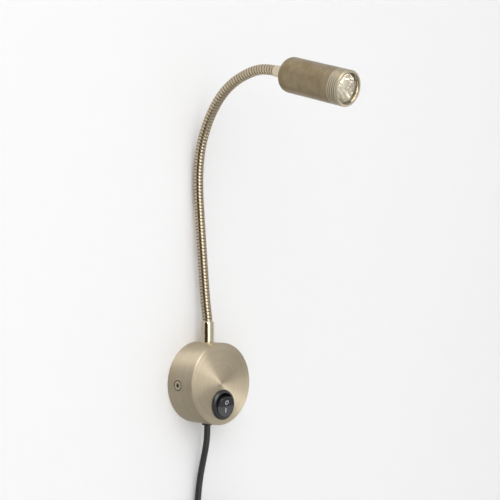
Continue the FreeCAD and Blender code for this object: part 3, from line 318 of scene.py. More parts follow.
# --------------------------------------------------------------------- materials
class Material:
    """A material being wired: node() adds a node, and set() fills or joins a socket."""

    def __init__(self, name):
        self.material = bpy.data.materials.new(name)
        self.material.use_nodes = True
        self.tree = self.material.node_tree
        self.tree.nodes.clear()
        self.output = self.node("ShaderNodeOutputMaterial")

    def node(self, kind, settings=None, **inputs):
        item = self.tree.nodes.new(kind)
        for key, value in (settings or {}).items():
            setattr(item, key, value)
        for key, value in inputs.items():
            self.set(item, key, value)
        return item

    def set(self, item, key, value):
        numbered = key[0] == "i" and key[1:].isdigit()
        socket = item.inputs[int(key[1:])] if numbered else item.inputs[key]
        if isinstance(value, bpy.types.NodeSocket):
            self.tree.links.new(value, socket)
        else:
            socket.default_value = value

    def shader(self, **values):
        item = self.node("ShaderNodeBsdfPrincipled")
        for key, value in values.items():
            self.set(item, key.replace("_", " "), value)
        self.tree.links.new(item.outputs[0], self.output.inputs["Surface"])
        return item

    def math(self, operation, first, second):
        item = self.node("ShaderNodeMath", {"operation": operation}, i0=first, i1=second)
        return item.outputs[0]

    def vector(self, operation, first, second=(0, 0, 0)):
        item = self.node("ShaderNodeVectorMath", {"operation": operation}, i0=first, i1=second)
        return item.outputs["Value"] if operation in ("LENGTH", "DOT_PRODUCT") else item.outputs[0]

    def object_point(self):
        return self.node("ShaderNodeTexCoord").outputs["Object"]

    def noise(self, point, scale, detail=3.0, roughness=0.55, dimensions="3D"):
        key = "W" if dimensions == "1D" else "Vector"
        item = self.node("ShaderNodeTexNoise", {"noise_dimensions": dimensions}, **{key: point})
        item.inputs["Scale"].default_value = scale
        item.inputs["Detail"].default_value = detail
        item.inputs["Roughness"].default_value = roughness
        return item.outputs[0]

    def ramp(self, value, low, high, to_low=0.0, to_high=1.0):
        item = self.node("ShaderNodeMapRange", i0=value, i1=low, i2=high, i3=to_low, i4=to_high)
        return item.outputs[0]

    def band(self, value, limits, edge):
        """One between the two limits, falling to nothing over the edge's width outside them."""
        rising = self.ramp(value, limits[0] - edge, limits[0])
        return self.math("MULTIPLY", rising, self.ramp(value, limits[1] + edge, limits[1]))

    def blend(self, share, first, second):
        """A number that goes from the first to the second as the share goes from 0 to 1."""
        item = self.node("ShaderNodeMix", {"data_type": "FLOAT"}, i0=share)
        for key, value in ((2, first), (3, second)):
            self.set(item, "i%d" % key, value)
        return item.outputs[0]

    def mix(self, share, first, second):
        item = self.node("ShaderNodeMix", {"data_type": "RGBA"})
        for key, value in ((0, share), (6, first), (7, second)):
            if isinstance(value, bpy.types.NodeSocket):
                self.tree.links.new(value, item.inputs[key])
            else:
                item.inputs[key].default_value = value
        return item.outputs[2]

    def clouded(self, pattern, tone, least, most):
        """A tone that a pattern takes from one share of itself to another."""
        return self.mix(self.ramp(pattern, 0.3, 0.7),
                        colour(darker(tone, least)), colour(darker(tone, most)))

    def bump(self, height, distance):
        item = self.node("ShaderNodeBump", Height=height, Distance=distance, Strength=1.0)
        return item.outputs[0]


def colour(values):
    """An opaque colour for a socket, from three numbers."""
    return (values[0], values[1], values[2], 1.0)


def darker(values, share):
    """A colour with each of its numbers times the share."""
    return tuple(value * share for value in values)


def turned_metal(name, tone, roughness, line_spacing, origin, axis, line_depth, grip,
                 zones=(), mottle=0.35, stain=(0.93, 0.86, 0.84)):
    """Brushed or turned metal: fine lines run round an axis, and gloss stretches across them.

    The distance from the axis plus the distance along it gives each line its place, on a
    face and on a side alike. The brushing's direction is the axis crossed with the place.
    Each zone is (radii, heights, soft edge, colour, roughness): where the distance from the
    axis and the height along it lie between its two values, that colour and gloss come in.
    Soft patches of the tone times the stain lie over it, as strong as the mottle.
    """
    item = Material(name)
    point = item.vector("SUBTRACT", item.object_point(), tuple(origin))
    along = item.vector("DOT_PRODUCT", point, tuple(axis))
    axial = item.node("ShaderNodeVectorMath", {"operation": "SCALE"}, i0=tuple(axis))
    item.set(axial, "Scale", along)
    out = item.vector("SUBTRACT", point, axial.outputs[0])
    radius = item.vector("LENGTH", out)
    place = item.math("ADD", radius, along)
    fine = item.noise(place, 1 / line_spacing, 4.0, 0.7, "1D")
    broad = item.noise(place, BROAD_SHARE / line_spacing, 2.0, 0.5, "1D")
    patch = item.noise(item.object_point(), PATCH_SCALE, 3.0, 0.6)
    lines = item.math("MULTIPLY", item.math("ADD", fine, broad), 0.5)
    base = item.clouded(lines, tone, 0.90, 1.08)
    stained = colour([tone[i] * stain[i] for i in range(3)])
    base = item.mix(item.ramp(patch, *PATCH_LIMITS, 0.0, mottle), base, stained)
    gloss = item.ramp(lines, 0.25, 0.75, roughness + GLOSS_SWING, roughness - GLOSS_SWING)
    for radii, heights, edge, zone_tone, zone_gloss in zones:
        share = item.band(radius, radii, edge)
        if heights:
            share = item.math("MULTIPLY", share, item.band(along, heights, edge))
        base = item.mix(share, base, colour(zone_tone))
        gloss = item.blend(share, gloss, zone_gloss)
    brushed = item.vector("CROSS_PRODUCT", tuple(axis), point)
    spaces = {"vector_type": "VECTOR", "convert_from": "OBJECT", "convert_to": "WORLD"}
    world = item.node("ShaderNodeVectorTransform", spaces, Vector=brushed)
    item.shader(Base_Color=base, Metallic=1.0, Roughness=gloss, Anisotropic=grip,
                Anisotropic_Rotation=0.25, Tangent=world.outputs[0],
                Normal=item.bump(lines, line_depth))
    return item.material


def plain_metal(name, tone, roughness, speck=400.0):
    """Plated or drawn metal with a faint cloud in its colour and gloss."""
    item = Material(name)
    cloud = item.noise(item.object_point(), speck, 4.0, 0.6)
    base = item.clouded(cloud, tone, 0.88, 1.08)
    gloss = item.ramp(cloud, 0.3, 0.7, roughness + 0.06, roughness - 0.05)
    item.shader(Base_Color=base, Metallic=1.0, Roughness=gloss,
                Normal=item.bump(cloud, GRAIN_DEEP))
    return item.material


def neck_metal(name, tone):
    """The gooseneck's wound strip: polished crests, with painted shade down in the grooves."""
    item = Material(name)
    rise = item.node("ShaderNodeAttribute", {"attribute_name": "rise"}).outputs["Fac"]
    cloud = item.noise(item.object_point(), 350.0, 4.0, 0.6)
    base = item.clouded(cloud, tone, 0.85, 1.1)
    # Painted shade: the grooves darken to a sixth of the strip's tone.
    base = item.mix(item.ramp(rise, 0.5, 0.93), colour(darker(tone, 0.16)), base)
    gloss = item.ramp(rise, 0.4, 0.8, 0.5, 0.22)
    item.shader(Base_Color=base, Metallic=1.0, Roughness=gloss,
                Normal=item.bump(cloud, GRAIN_DEEP))
    return item.material


def moulded(name, tone, roughness, grain=1500.0, depth=GRAIN_DEEP):
    """Moulded plastic or rubber with a fine grain."""
    item = Material(name)
    cloud = item.noise(item.object_point(), grain, 3.0, 0.6)
    broad = item.noise(item.object_point(), grain * 0.06, 2.0, 0.5)
    base = item.clouded(broad, tone, 0.9, 1.1)
    gloss = item.ramp(cloud, 0.3, 0.7, roughness + GLOSS_SWING, roughness - GLOSS_SWING)
    item.shader(Base_Color=base, Roughness=gloss, Normal=item.bump(cloud, depth))
    return item.material


def clear_glass(name):
    """Polished clear glass."""
    item = Material(name)
    item.shader(Base_Color=(1.0, 1.0, 0.98, 1.0), Roughness=0.0, IOR=1.45, Transmission_Weight=1.0)
    return item.material


def lit_emitter(name, glow):
    """The light-emitting chip: yellow phosphor under a clear silicone dome, lit."""
    item = Material(name)
    grain = item.noise(item.object_point(), 3000.0, 2.0, 0.5)
    base = item.mix(item.ramp(grain, 0.3, 0.7), (0.90, 0.72, 0.20, 1.0), (0.96, 0.82, 0.34, 1.0))
    item.shader(Base_Color=base, Roughness=0.2, Coat_Weight=0.6,
                Emission_Color=(1.0, 0.95, 0.84, 1.0), Emission_Strength=glow)
    return item.material


def wall_paint(name, tone):
    """Pale paint that shows only its front: from behind it is clear, so the lamp's back shows."""
    item = Material(name)
    grain = item.noise(item.object_point(), 60.0, 3.0, 0.6)
    base = item.clouded(grain, tone, 0.995, 1.0)
    paint = item.node("ShaderNodeBsdfDiffuse", Color=base)
    clear = item.node("ShaderNodeBsdfTransparent")
    behind = item.node("ShaderNodeNewGeometry").outputs["Backfacing"]
    choice = item.node("ShaderNodeMixShader", i0=behind, i1=paint.outputs[0], i2=clear.outputs[0])
    item.tree.links.new(choice.outputs[0], item.output.inputs["Surface"])
    return item.material


def dress(piece, material):
    """Gives a piece one material in place of any it has."""
    piece.data.materials.clear()
    piece.data.materials.append(material)


def dress_nodes(material, *names):
    """Gives one material to the frame's nodes of these names."""
    for name in names:
        dress(frame["nodes"][name], material)


# ------------------------------------------------------------------ user settings
class LampFinish(bpy.types.PropertyGroup):
    """Colours and gloss of the lamp."""

    brass: bpy.props.FloatVectorProperty(
        name="Base brass", description="Turned satin brass of the base", subtype="COLOR",
        size=3, min=0, max=1, default=(0.58, 0.505, 0.37))
    head: bpy.props.FloatVectorProperty(
        name="Head brass", description="Antique brass of the head", subtype="COLOR",
        size=3, min=0, max=1, default=(0.30, 0.245, 0.16))
    ferrule: bpy.props.FloatVectorProperty(
        name="Ferrule brass", description="Polished brass of the two ferrules", subtype="COLOR",
        size=3, min=0, max=1, default=(0.65, 0.57, 0.42))
    neck: bpy.props.FloatVectorProperty(
        name="Gooseneck", description="Plated strip of the gooseneck", subtype="COLOR",
        size=3, min=0, max=1, default=(0.53, 0.44, 0.31))
    black: bpy.props.FloatVectorProperty(
        name="Switch black", description="Black of the switch", subtype="COLOR",
        size=3, min=0, max=1, default=(0.012, 0.012, 0.014))
    cord: bpy.props.FloatVectorProperty(
        name="Cord black", description="Black of the cord and plug", subtype="COLOR",
        size=3, min=0, max=1, default=(0.022, 0.021, 0.022))
    glow: bpy.props.FloatProperty(
        name="Glow", description="How brightly the light-emitting chip shines",
        min=0, max=200, default=70.0)
    gloss: bpy.props.FloatProperty(
        name="Brass roughness", description="Roughness of the turned brass", subtype="FACTOR",
        min=0, max=1, default=0.48)


class LampSizes(bpy.types.PropertyGroup):
    """Sizes of what the frame leaves to the looks."""

    rib_pitch: bpy.props.FloatProperty(
        name="Rib pitch", description="Distance from rib to rib along the gooseneck",
        subtype="DISTANCE", unit="LENGTH", default=2.63 * MM)
    rib_crest: bpy.props.FloatProperty(
        name="Rib crest", description="Radius of the gooseneck over its ribs",
        subtype="DISTANCE", unit="LENGTH", default=3.98 * MM)
    rib_groove: bpy.props.FloatProperty(
        name="Rib groove", description="Radius of the gooseneck down in its grooves",
        subtype="DISTANCE", unit="LENGTH", default=3.58 * MM)
    tenon: bpy.props.FloatProperty(
        name="Tenon", description="How far the gooseneck reaches into each ferrule",
        subtype="DISTANCE", unit="LENGTH", default=6.0 * MM)


class LampStudio(bpy.types.PropertyGroup):
    """Lights and background."""

    wall: bpy.props.FloatVectorProperty(
        name="Wall", description="Colour of the wall and floor", subtype="COLOR",
        size=3, min=0, max=1, default=(0.92, 0.92, 0.92))
    key_power: bpy.props.FloatProperty(
        name="Key power", description="Power of the tall soft light", subtype="POWER",
        unit="POWER", default=30.6)
    card_level: bpy.props.FloatProperty(
        name="Card level", description="Glow of the bright cards that the metal mirrors",
        subtype="FACTOR", min=0, max=5, default=2.3)
    world_level: bpy.props.FloatProperty(
        name="Room level", description="Strength of the light from all round",
        subtype="FACTOR", min=0, max=2, default=0.63)


# ---------------------------------------------------------------------- operators
class LampOperator(bpy.types.Operator):
    """Common ground of the lamp's operators."""

    bl_options = {"REGISTER", "UNDO"}

    @classmethod
    def settings(cls, context):
        """The three groups of settings: finish, sizes and studio."""
        return context.scene.lamp_finish, context.scene.lamp_sizes, context.scene.lamp_studio


class LAMP_OT_camera(LampOperator):
    """Place the camera where the photograph was taken"""

    bl_idname = "lamp.camera"
    bl_label = "Camera"

    def execute(self, context):
        out = Vector((-math.sin(CAMERA_YAW) * math.cos(CAMERA_PITCH),
                      math.cos(CAMERA_YAW) * math.cos(CAMERA_PITCH), -math.sin(CAMERA_PITCH)))
        right = Vector((math.cos(CAMERA_YAW), math.sin(CAMERA_YAW), 0.0))
        data = bpy.data.cameras.new("camera")
        data.lens = CAMERA_LENS
        data.sensor_width = SENSOR_WIDTH
        data.clip_end = CAMERA_REACH
        camera = bpy.data.objects.new("camera", data)
        turn = Matrix((right, right.cross(out), -out)).transposed().to_4x4()
        camera.matrix_world = Matrix.Translation(CAMERA_PLACE) @ turn
        context.scene.collection.objects.link(camera)
        context.scene.camera = camera
        return {"FINISHED"}


class LAMP_OT_studio(LampOperator):
    """Add the wall, the floor and the lights"""

    bl_idname = "lamp.studio"
    bl_label = "Studio"

    def execute(self, context):
        studio = self.settings(context)[2]
        paint = wall_paint("wall_paint", tuple(studio.wall))
        floor = cad_low[2] - FLOOR_DROP
        self.card(context, "studio_wall", self.upright(WALL_GAP, floor, REACH), paint)
        self.card(context, "studio_floor", self.level(floor, REACH), paint)
        self.soft_light(context, "key_light", KEY_PLACE, KEY_TARGET, KEY_SIZE, studio.key_power)
        for name, (azimuth, climb, away, wide, high, glow, share, tint) in CARDS.items():
            material = self.glow(name, glow + studio.card_level * share, tint=tint)
            corners = self.facing(azimuth, climb, away, wide, high)
            self.shiny_only(self.card(context, name, corners, material))
        low = floor + MM
        self.shiny_only(self.card(context, "low_floor_card", self.level(low, 0.0),
                                  self.glow("low_floor_card", LOW_FLOOR_GLOW)))
        fade = (LOW_WALL_BOTTOM, LOW_WALL_TOP, *LOW_WALL_GLOW)
        self.shiny_only(self.card(context, "low_wall_card",
                                  self.upright(WALL_GAP * 0.8, low, LOW_WALL_TOP),
                                  self.glow("low_wall_card", 0.0, fade)))
        world = bpy.data.worlds.new("room")
        world.use_nodes = True
        background = world.node_tree.nodes["Background"]
        background.inputs["Color"].default_value = (1.0, 1.0, 1.0, 1.0)
        background.inputs["Strength"].default_value = studio.world_level
        context.scene.world = world
        context.scene.view_settings.view_transform = "Standard"
        return {"FINISHED"}

    def glow(self, name, level, fade=None, tint=(1.0, 1.0, 1.0)):
        """An even glow, or one that goes from one level to another between two heights."""
        item = Material(name)
        if fade:
            height = item.node("ShaderNodeSeparateXYZ", i0=item.object_point()).outputs["Z"]
            level = item.ramp(height, *fade)
        shine = item.node("ShaderNodeEmission", Color=colour(tint), Strength=level)
        item.tree.links.new(shine.outputs[0], item.output.inputs["Surface"])
        return item.material

    def shiny_only(self, card):
        """Leaves a card for shiny surfaces to mirror, also through the lens, and no more."""
        for kind in ("camera", "diffuse", "volume_scatter", "shadow"):
            setattr(card, "visible_" + kind, False)

    def upright(self, depth, low, high):
        """The corners of a card along the wall, at a depth, between two heights."""
        return [(-REACH, depth, low), (REACH, depth, low),
                (REACH, depth, high), (-REACH, depth, high)]

    def level(self, height, back):
        """The corners of a card along the floor, at a height, from the front to the back."""
        return [(-REACH, -REACH, height), (REACH, -REACH, height),
                (REACH, back, height), (-REACH, back, height)]

    def facing(self, azimuth, climb, away, half_wide, half_high):
        """The corners of a card that faces the lamp from an azimuth and a climb in degrees."""
        turn, lift = math.radians(azimuth), math.radians(climb)
        out = Vector((math.cos(turn) * math.cos(lift), math.sin(turn) * math.cos(lift),
                      math.sin(lift)))
        half = Vector((-math.sin(turn), math.cos(turn), 0.0)) * half_wide
        rise = out.cross(half).normalized() * half_high
        middle = out * away + CARD_MIDDLE
        return [middle - half - rise, middle + half - rise,
                middle + half + rise, middle - half + rise]

    def card(self, context, name, corners, material):
        """A flat card with its front on the side that its corners go round anticlockwise."""
        mesh = bpy.data.meshes.new(name)
        mesh.from_pydata([tuple(corner) for corner in corners], [], [(0, 1, 2, 3)])
        piece = bpy.data.objects.new(name, mesh)
        context.scene.collection.objects.link(piece)
        dress(piece, material)
        return piece

    def soft_light(self, context, name, place, target, size, power):
        """A rectangular light at a place, facing a target."""
        data = bpy.data.lights.new(name, "AREA")
        data.shape = "RECTANGLE"
        data.size, data.size_y = size
        data.energy = power
        light = bpy.data.objects.new(name, data)
        light.location = place
        light.rotation_euler = (target - Vector(place)).to_track_quat("-Z", "Y").to_euler()
        context.scene.collection.objects.link(light)


class LAMP_OT_cord(LampOperator):
    """Lay the mains cord: hanging stretch, coil and the end at the plug"""

    bl_idname = "lamp.cord"
    bl_label = "Cord"

    def execute(self, context):
        finish = self.settings(context)[0]
        gland_mouth = np.array([0.0, FEATURE_PLANE, gland_bottom])
        hanging = gland_mouth + np.array(CORD_ROUTE)
        into = hanging[-1] - hanging[-2]
        into = into / np.linalg.norm(into)
        coil = self.coil(hanging[-1] + into * CORD_DIAMETER)
        end = coil[-1] + np.array([0.0, 0.0, -CORD_DIAMETER])
        route = np.vstack([hanging, coil, [end + np.array(offset) for offset in PLUG_ROUTE]])
        data = bpy.data.curves.new("mains_cord", "CURVE")
        data.dimensions = "3D"
        data.bevel_depth = CORD_DIAMETER / 2
        data.bevel_resolution = 6
        data.resolution_u = 5
        data.use_fill_caps = True
        spline = data.splines.new("NURBS")
        spline.points.add(len(route) - 1)
        spline.points.foreach_set("co", np.hstack([route, np.ones((len(route), 1))]).ravel())
        spline.order_u = 3
        spline.use_endpoint_u = True
        cord = bpy.data.objects.new("mains_cord", data)
        context.scene.collection.objects.link(cord)
        dress(cord, moulded("cord_sheath", tuple(finish.cord), 0.42, 900.0))
        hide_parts("power_cord", "cord_coil", "plug_lead")
        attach(cord, "base")
        return {"FINISHED"}

    def coil(self, first):
        """The stored length from its first point: flat spirals, one layer before the next.

        The radius falls along one layer and grows along the next. Where two layers meet,
        the cord climbs from one to the other over half a turn, as a cosine.
        """
        layer_angle = COIL_TURNS * 2 * math.pi / COIL_LAYERS
        spread = COIL_PITCH * COIL_TURNS / COIL_LAYERS
        outer = COIL_RADIUS + spread / 2
        middle = first - outer * np.array([math.cos(COIL_START), 0.0, math.sin(COIL_START)])
        points = []
        for angle in np.linspace(0, COIL_TURNS * 2 * math.pi, int(COIL_TURNS * COIL_POINTS) + 1):
            layer = min(int(angle / layer_angle), COIL_LAYERS - 1)
            share = angle / layer_angle - layer
            radius = outer - spread * (share if layer % 2 == 0 else 1 - share)
            climb = layer
            for border in range(1, COIL_LAYERS):
                along = (angle - border * layer_angle) / math.pi + 0.5
                if 0 <= along <= 1:
                    climb = border - 1 + (1 - math.cos(math.pi * along)) / 2
            turn = COIL_START + angle
            points.append(middle + np.array([radius * math.cos(turn), -COIL_PITCH * climb,
                                             radius * math.sin(turn)]))
        return points


class LAMP_OT_gooseneck(LampOperator):
    """Wind the gooseneck's ribbed strip, one piece to each hinge"""

    bl_idname = "lamp.gooseneck"
    bl_label = "Gooseneck"

    def execute(self, context):
        finish, sizes, _ = self.settings(context)
        hinges = [Vector(joint["pos_m"]) for joint in neck_joints]
        route = [NECK_MOUTH, *hinges, NECK_END]
        line, along, length = smooth_line(route, (0, 0, 1), HEAD_OUT, NECK_SPOTS)
        metal = neck_metal("gooseneck_strip", tuple(finish.neck))
        step = length / len(hinges)
        for index, joint in enumerate(neck_joints):
            last = index == len(hinges) - 1
            start = index * step - (sizes.tenon if index == 0 else 0.0)
            end = (index + 1) * step + (sizes.tenon if last else 0.0)
            rings = int(round((end - start) / sizes.rib_pitch * RIB_STEPS)) + 1
            place = np.linspace(start, end, rings)
            piece = self.wound(joint["name"].replace("_tilt", "_skin").replace("_swing", "_skin"),
                               place, line, along, length, sizes)
            dress(piece, metal)
            replaced = ["gooseneck_%02d" % (index + 1)]
            if last:
                replaced.append("gooseneck_%02d" % (index + 2))
            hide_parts(*replaced)
            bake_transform(piece)
        return {"FINISHED"}

    def wound(self, name, place, line, along, length, sizes):
        """One piece of the wound strip.

        At distance s along the neck and angle a round it, the phase is s / pitch - a / 2 pi.
        The radius is the groove's plus the rib's height times a low power of the absolute
        sine of pi times the phase, so each rib is flat and each groove narrow. The
        normals come from that radius's slope, which is held back in the groove, where the
        power's own slope has no limit. A plain bore closes the piece inside.
        """
        spots = np.linspace(0, length, len(line))
        inside = np.clip(place, 0, length)
        centre = np.stack([np.interp(inside, spots, line[:, axis]) for axis in range(3)], axis=1)
        forward = np.stack([np.interp(inside, spots, along[:, axis]) for axis in range(3)], axis=1)
        forward /= np.linalg.norm(forward, axis=1)[:, None]
        centre = centre + forward * (place - inside)[:, None]
        across = np.array([1.0, 0, 0]) - forward * forward[:, :1]
        across /= np.linalg.norm(across, axis=1)[:, None]
        beside = np.cross(forward, across)
        angle = np.linspace(0, 2 * math.pi, NECK_SIDES, endpoint=False)
        phase = place[:, None] / sizes.rib_pitch - angle[None, :] / (2 * math.pi)
        swell = np.abs(np.sin(math.pi * phase))
        rise = swell ** RIB_POWER
        height = sizes.rib_crest - sizes.rib_groove
        radius = sizes.rib_groove + height * rise
        out = (across[:, None] * np.cos(angle)[None, :, None]
               + beside[:, None] * np.sin(angle)[None, :, None])
        outer = centre[:, None] + out * radius[..., None]
        steep = height * RIB_POWER * np.maximum(swell, RIB_LEAST) ** (RIB_POWER - 1)
        slope = (steep * np.cos(math.pi * phase) * np.sign(np.sin(math.pi * phase))
                 * math.pi / sizes.rib_pitch)
        normal = out - forward[:, None] * slope[..., None]
        inner = centre[[-1, 0]][:, None] + out[[-1, 0]] * NECK_BORE
        grid = np.concatenate([outer, inner])
        normals = np.concatenate([normal, -out[[-1, 0]]])
        normals /= np.linalg.norm(normals, axis=-1)[..., None]
        rises = np.concatenate([rise, np.zeros((2, len(angle)))])
        return surface(name, grid, close_along=True, normals=normals, attributes={"rise": rises})


class LAMP_OT_base(LampOperator):
    """Finish the base, its screws, ferrule and gland"""

    bl_idname = "lamp.base"
    bl_label = "Base"

    def execute(self, context):
        finish = self.settings(context)[0]
        brass = turned_metal("base_brass", tuple(finish.brass), finish.gloss, 0.35 * MM,
                             (0.0, 0.0, 0.0), (0.0, 1.0, 0.0), LINE_DEEP, 0.9)
        dress_nodes(brass, "base_housing")
        # Painted shade on the side screw: a dark ring at its rim in the countersink, and a darker
        # socket.
        dark = darker(tuple(finish.head), 0.2)
        screw = turned_metal("screw_brass", tuple(finish.ferrule), 0.3, 0.2 * MM,
                             (0.0, FEATURE_PLANE, 0.0), (1.0, 0.0, 0.0), LINE_DEEP / 2, 0.3,
                             [(SCREW_SINK_SHADE, None, 0.15 * MM, dark, 0.6),
                              (SCREW_SOCKET_SHADE, None, 0.15 * MM, darker(tuple(finish.ferrule), 0.6),
                               0.4)])
        dress_nodes(screw, "side_screws")
        ferrule = turned_metal("ferrule_brass", tuple(finish.ferrule), 0.16, 0.2 * MM,
                               tuple(NECK_MOUTH), (0.0, 0.0, 1.0), FINE_DEEP, 0.2)
        dress_nodes(ferrule, "lower_ferrule")
        dress_nodes(moulded("gland_black", tuple(finish.cord), 0.4), "cord_gland", "cord_tail")
        return {"FINISHED"}


class LAMP_OT_switch(LampOperator):
    """Finish the rocker switch and its two marks"""

    bl_idname = "lamp.switch"
    bl_label = "Switch"

    def execute(self, context):
        finish = self.settings(context)[0]
        black = tuple(finish.black)
        satin = darker(black, 1.5)
        dress_nodes(moulded("rocker_gloss", black, 0.2, 1200.0, 0.000002), "switch_rocker")
        dress_nodes(moulded("bezel_satin", satin, 0.3, 1200.0, 0.000005), "switch_body")
        dress_nodes(moulded("plunger_plastic", (0.6, 0.6, 0.58), 0.45), "switch_plunger")
        white = moulded("mark_white", (0.50, 0.53, 0.56), 0.5)
        place = Matrix.Translation(rocker_pivot) @ Matrix.Rotation(ROCKER_TILT, 4, "X")
        for name, side, middle, shape in (("mark_off", 1, MARK_RING_PLACE, self.ring),
                                          ("mark_on", -1, MARK_BAR_PLACE, self.bar)):
            on_slope = (place @ Matrix.Translation((0.0, 0.0, ROCKER_CREST))
                        @ Matrix.Rotation(ROCKER_SLOPE * side, 4, "X")
                        @ Matrix.Translation((MARK_ASIDE, middle - MARK_DOWN, -MARK_SUNK)))
            mark = shape(name)
            mark.data.transform(on_slope)
            shade_by_angle(mark, SMOOTH_EDGE)
            dress(mark, white)
            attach(mark, "rocker")
        return {"FINISHED"}

    def ring(self, name):
        """A flat ring: its section's four corners carried round the height axis."""
        outline = np.array([(MARK_RING_OUTER, 0.0), (MARK_RING_OUTER, MARK_HIGH),
                            (MARK_RING_INNER, MARK_HIGH), (MARK_RING_INNER, 0.0)])
        angle = np.linspace(0, 2 * math.pi, MARK_RING_SIDES, endpoint=False)
        grid = np.stack([outline[:, :1] * np.cos(angle), outline[:, :1] * np.sin(angle),
                         np.repeat(outline[:, 1:], len(angle), axis=1)], axis=-1)
        return surface(name, grid, close_along=True)

    def bar(self, name):
        """A flat bar with round ends: a stadium outline carried up and closed at its middle."""
        angle = np.linspace(0, 2 * math.pi, MARK_BAR_SIDES, endpoint=False)
        straight = np.sign(np.sin(angle)) * (MARK_BAR_LONG - MARK_BAR_WIDE)
        outline = np.stack([MARK_BAR_WIDE * np.cos(angle),
                            MARK_BAR_WIDE * np.sin(angle) + straight], axis=1)
        rings = []
        for share, height in ((0.0, 0.0), (1.0, 0.0), (1.0, MARK_HIGH), (0.0, MARK_HIGH)):
            rings.append(np.column_stack([outline * share, np.full(len(outline), height)]))
        piece = surface(name, np.array(rings))
        weld(piece)
        return piece


class LAMP_OT_head(LampOperator):
    """Finish the head: barrel, grooved ring, lens, reflector and light board"""

    bl_idname = "lamp.head"
    bl_label = "Head"

    def execute(self, context):
        finish = self.settings(context)[0]
        axis = tuple(HEAD_OUT)
        centre = tuple(LENS_CENTRE)
        barrel = turned_metal("head_brass", tuple(finish.head), finish.gloss - 0.1, 0.4 * MM,
                              centre, axis, LINE_DEEP, 0.6, mottle=1.0,
                              stain=(0.80, 0.73, 0.62))
        dress_nodes(barrel, "head_barrel")
        tones = {"dark": darker(tuple(finish.head), 0.55), "polished": tuple(finish.ferrule)}
        # The third zone paints shade as a dark line round the opening's edge.
        zones = [([radius * MM for radius in radii],
                  [height * MM - LENS_HEIGHT for height in heights],
                  edge * MM, tones[tone], gloss)
                 for radii, heights, edge, tone, gloss in FRONT_ZONES]
        ring = turned_metal("ring_brass", darker(tuple(finish.ferrule), 0.74), finish.gloss - 0.14,
                            0.25 * MM, centre, axis, LINE_DEEP, 0.6, zones)
        dress_nodes(ring, "head_bezel")
        ferrule = turned_metal("upper_ferrule_brass", tuple(finish.ferrule), 0.2, 0.2 * MM, centre,
                               axis, FINE_DEEP, 0.2)
        dress_nodes(ferrule, "upper_ferrule")
        dress_nodes(clear_glass("lens_glass"), "front_lens")
        dress_nodes(moulded("gasket_silicone", (0.20, 0.16, 0.11), 0.5), "lens_gasket")
        self.faceted_cup()
        dress_nodes(moulded("board_mask", (0.80, 0.80, 0.78), 0.35), "led_board")
        dress_nodes(lit_emitter("led_phosphor", finish.glow), "led_emitter")
        dress_nodes(plain_metal("sink_aluminium", (0.80, 0.81, 0.82), 0.35), "heat_sink")
        return {"FINISHED"}

    def faceted_cup(self):
        """The reflector: a cup of flat facets, staggered from row to row, under a plain rim.

        The cup's radius grows from its neck to its mouth with the square root of the share of
        its depth. Every other point of a row is drawn in, and the next row's the other way
        round, and each facet between four points is shaded flat.
        """
        top = CUP_FLOOR + CUP_DEPTH
        places = 2 * CUP_FACETS
        angle = np.linspace(0, 2 * math.pi, places, endpoint=False)
        share = np.linspace(0, 1, CUP_ROWS + 1)
        radius = CUP_NECK + (CUP_MOUTH - CUP_NECK) * np.sqrt(share)
        height = CUP_FLOOR + CUP_LIP + (CUP_DEPTH - CUP_LIP) * share
        rings = [(np.full(places, CUP_MOUTH), top)]
        for row in range(CUP_ROWS, -1, -1):
            reach = np.full(places, radius[row])
            reach[row % 2::2] *= math.cos(math.pi / CUP_FACETS)
            rings.append((reach, height[row]))
        plain = [(CUP_NECK, CUP_FLOOR), (CUP_NECK + CUP_WALL, CUP_FLOOR)]
        plain += [(radius[row] + CUP_WALL, height[row]) for row in range(CUP_ROWS)]
        plain += [(CUP_RIM, top - CUP_WALL), (CUP_RIM, top)]
        rings += [(np.full(places, reach), at) for reach, at in plain]
        grid = np.array([np.stack([reach * np.cos(angle), reach * np.sin(angle),
                                   np.full(places, at)], axis=1) for reach, at in rings])
        piece = surface("reflector_cup", grid, close_along=True)
        weld(piece)
        piece.data.transform(head_place())
        faces = piece.data.polygons
        faces.foreach_set("use_smooth", np.zeros(len(faces), bool))
        dress(piece, plain_metal("reflector_plating", (0.93, 0.90, 0.84), 0.16, 300.0))
        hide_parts("reflector")
        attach(piece, "head")


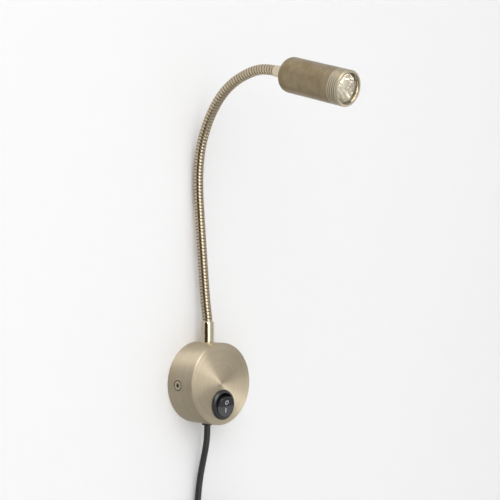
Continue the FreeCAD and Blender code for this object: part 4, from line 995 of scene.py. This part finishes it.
class LAMP_OT_inside(LampOperator):
    """Finish the bracket, the driver, the leads and the plug"""

    bl_idname = "lamp.inside"
    bl_label = "Inside and plug"

    def execute(self, context):
        finish = self.settings(context)[0]
        zinc = plain_metal("zinc_plate", (0.66, 0.67, 0.69), 0.32, 250.0)
        dress_nodes(zinc, "wall_bracket", "neck_washer", "neck_nut", "head_nut", "board_screws",
                    "terminal_screws", "plunger_spring")
        dress_nodes(plain_metal("contact_brass", (0.80, 0.62, 0.30), 0.25), "switch_terminals",
                    "switch_blade")
        dress_nodes(plain_metal("pin_nickel", (0.74, 0.73, 0.70), 0.18), "plug_pins")
        dress_nodes(moulded("driver_shell", (0.78, 0.78, 0.75), 0.45), "led_driver")
        dress_nodes(moulded("foam_pad", (0.10, 0.10, 0.10), 0.9, 2500.0, 0.0001), "driver_pad")
        dress_nodes(moulded("block_nylon", (0.80, 0.79, 0.74), 0.4), "terminal_block")
        dress_nodes(moulded("core_brown", (0.16, 0.07, 0.03), 0.35), "mains_cores")
        dress_nodes(moulded("lead_blue", (0.03, 0.09, 0.35), 0.35), "switch_leads")
        dress_nodes(moulded("lead_red", (0.35, 0.02, 0.02), 0.35), "light_leads", "head_leads")
        cord = tuple(finish.cord)
        dress_nodes(moulded("plug_rubber", cord, 0.5, 1800.0, 0.00003), "plug_body")
        dress_nodes(moulded("sleeve_plastic", cord, 0.35), "plug_sleeves")
        dress_nodes(moulded("tie_nylon", darker(cord, 1.3), 0.55, 2500.0, 0.00005), "coil_tie")
        return {"FINISHED"}


class LAMP_PT_panel(bpy.types.Panel):
    """Lists what makes the lamp"""

    bl_idname = "LAMP_PT_panel"
    bl_label = "Reading lamp"
    bl_space_type = "VIEW_3D"
    bl_region_type = "UI"
    bl_category = "Reading lamp"

    def draw(self, context):
        scene = context.scene
        for group in (scene.lamp_finish, scene.lamp_sizes, scene.lamp_studio):
            box = self.layout.box()
            for name in group.__annotations__:
                box.prop(group, name)
        for operator in OPERATORS:
            self.layout.operator(operator.bl_idname)


GROUPS = {"lamp_finish": LampFinish, "lamp_sizes": LampSizes, "lamp_studio": LampStudio}
OPERATORS = [LAMP_OT_camera, LAMP_OT_cord, LAMP_OT_studio, LAMP_OT_gooseneck, LAMP_OT_base,
             LAMP_OT_switch, LAMP_OT_head, LAMP_OT_inside]


def register():
    for name, group in GROUPS.items():
        bpy.utils.register_class(group)
        setattr(bpy.types.Scene, name, bpy.props.PointerProperty(type=group))
    for operator in OPERATORS:
        bpy.utils.register_class(operator)
    bpy.utils.register_class(LAMP_PT_panel)


def unregister():
    bpy.utils.unregister_class(LAMP_PT_panel)
    for operator in reversed(OPERATORS):
        bpy.utils.unregister_class(operator)
    for name, group in GROUPS.items():
        delattr(bpy.types.Scene, name)
        bpy.utils.unregister_class(group)


def main():
    register()
    for operator in OPERATORS:
        section, name = operator.bl_idname.split(".")
        getattr(getattr(bpy.ops, section), name)()


if __name__ == "__main__":
    main()
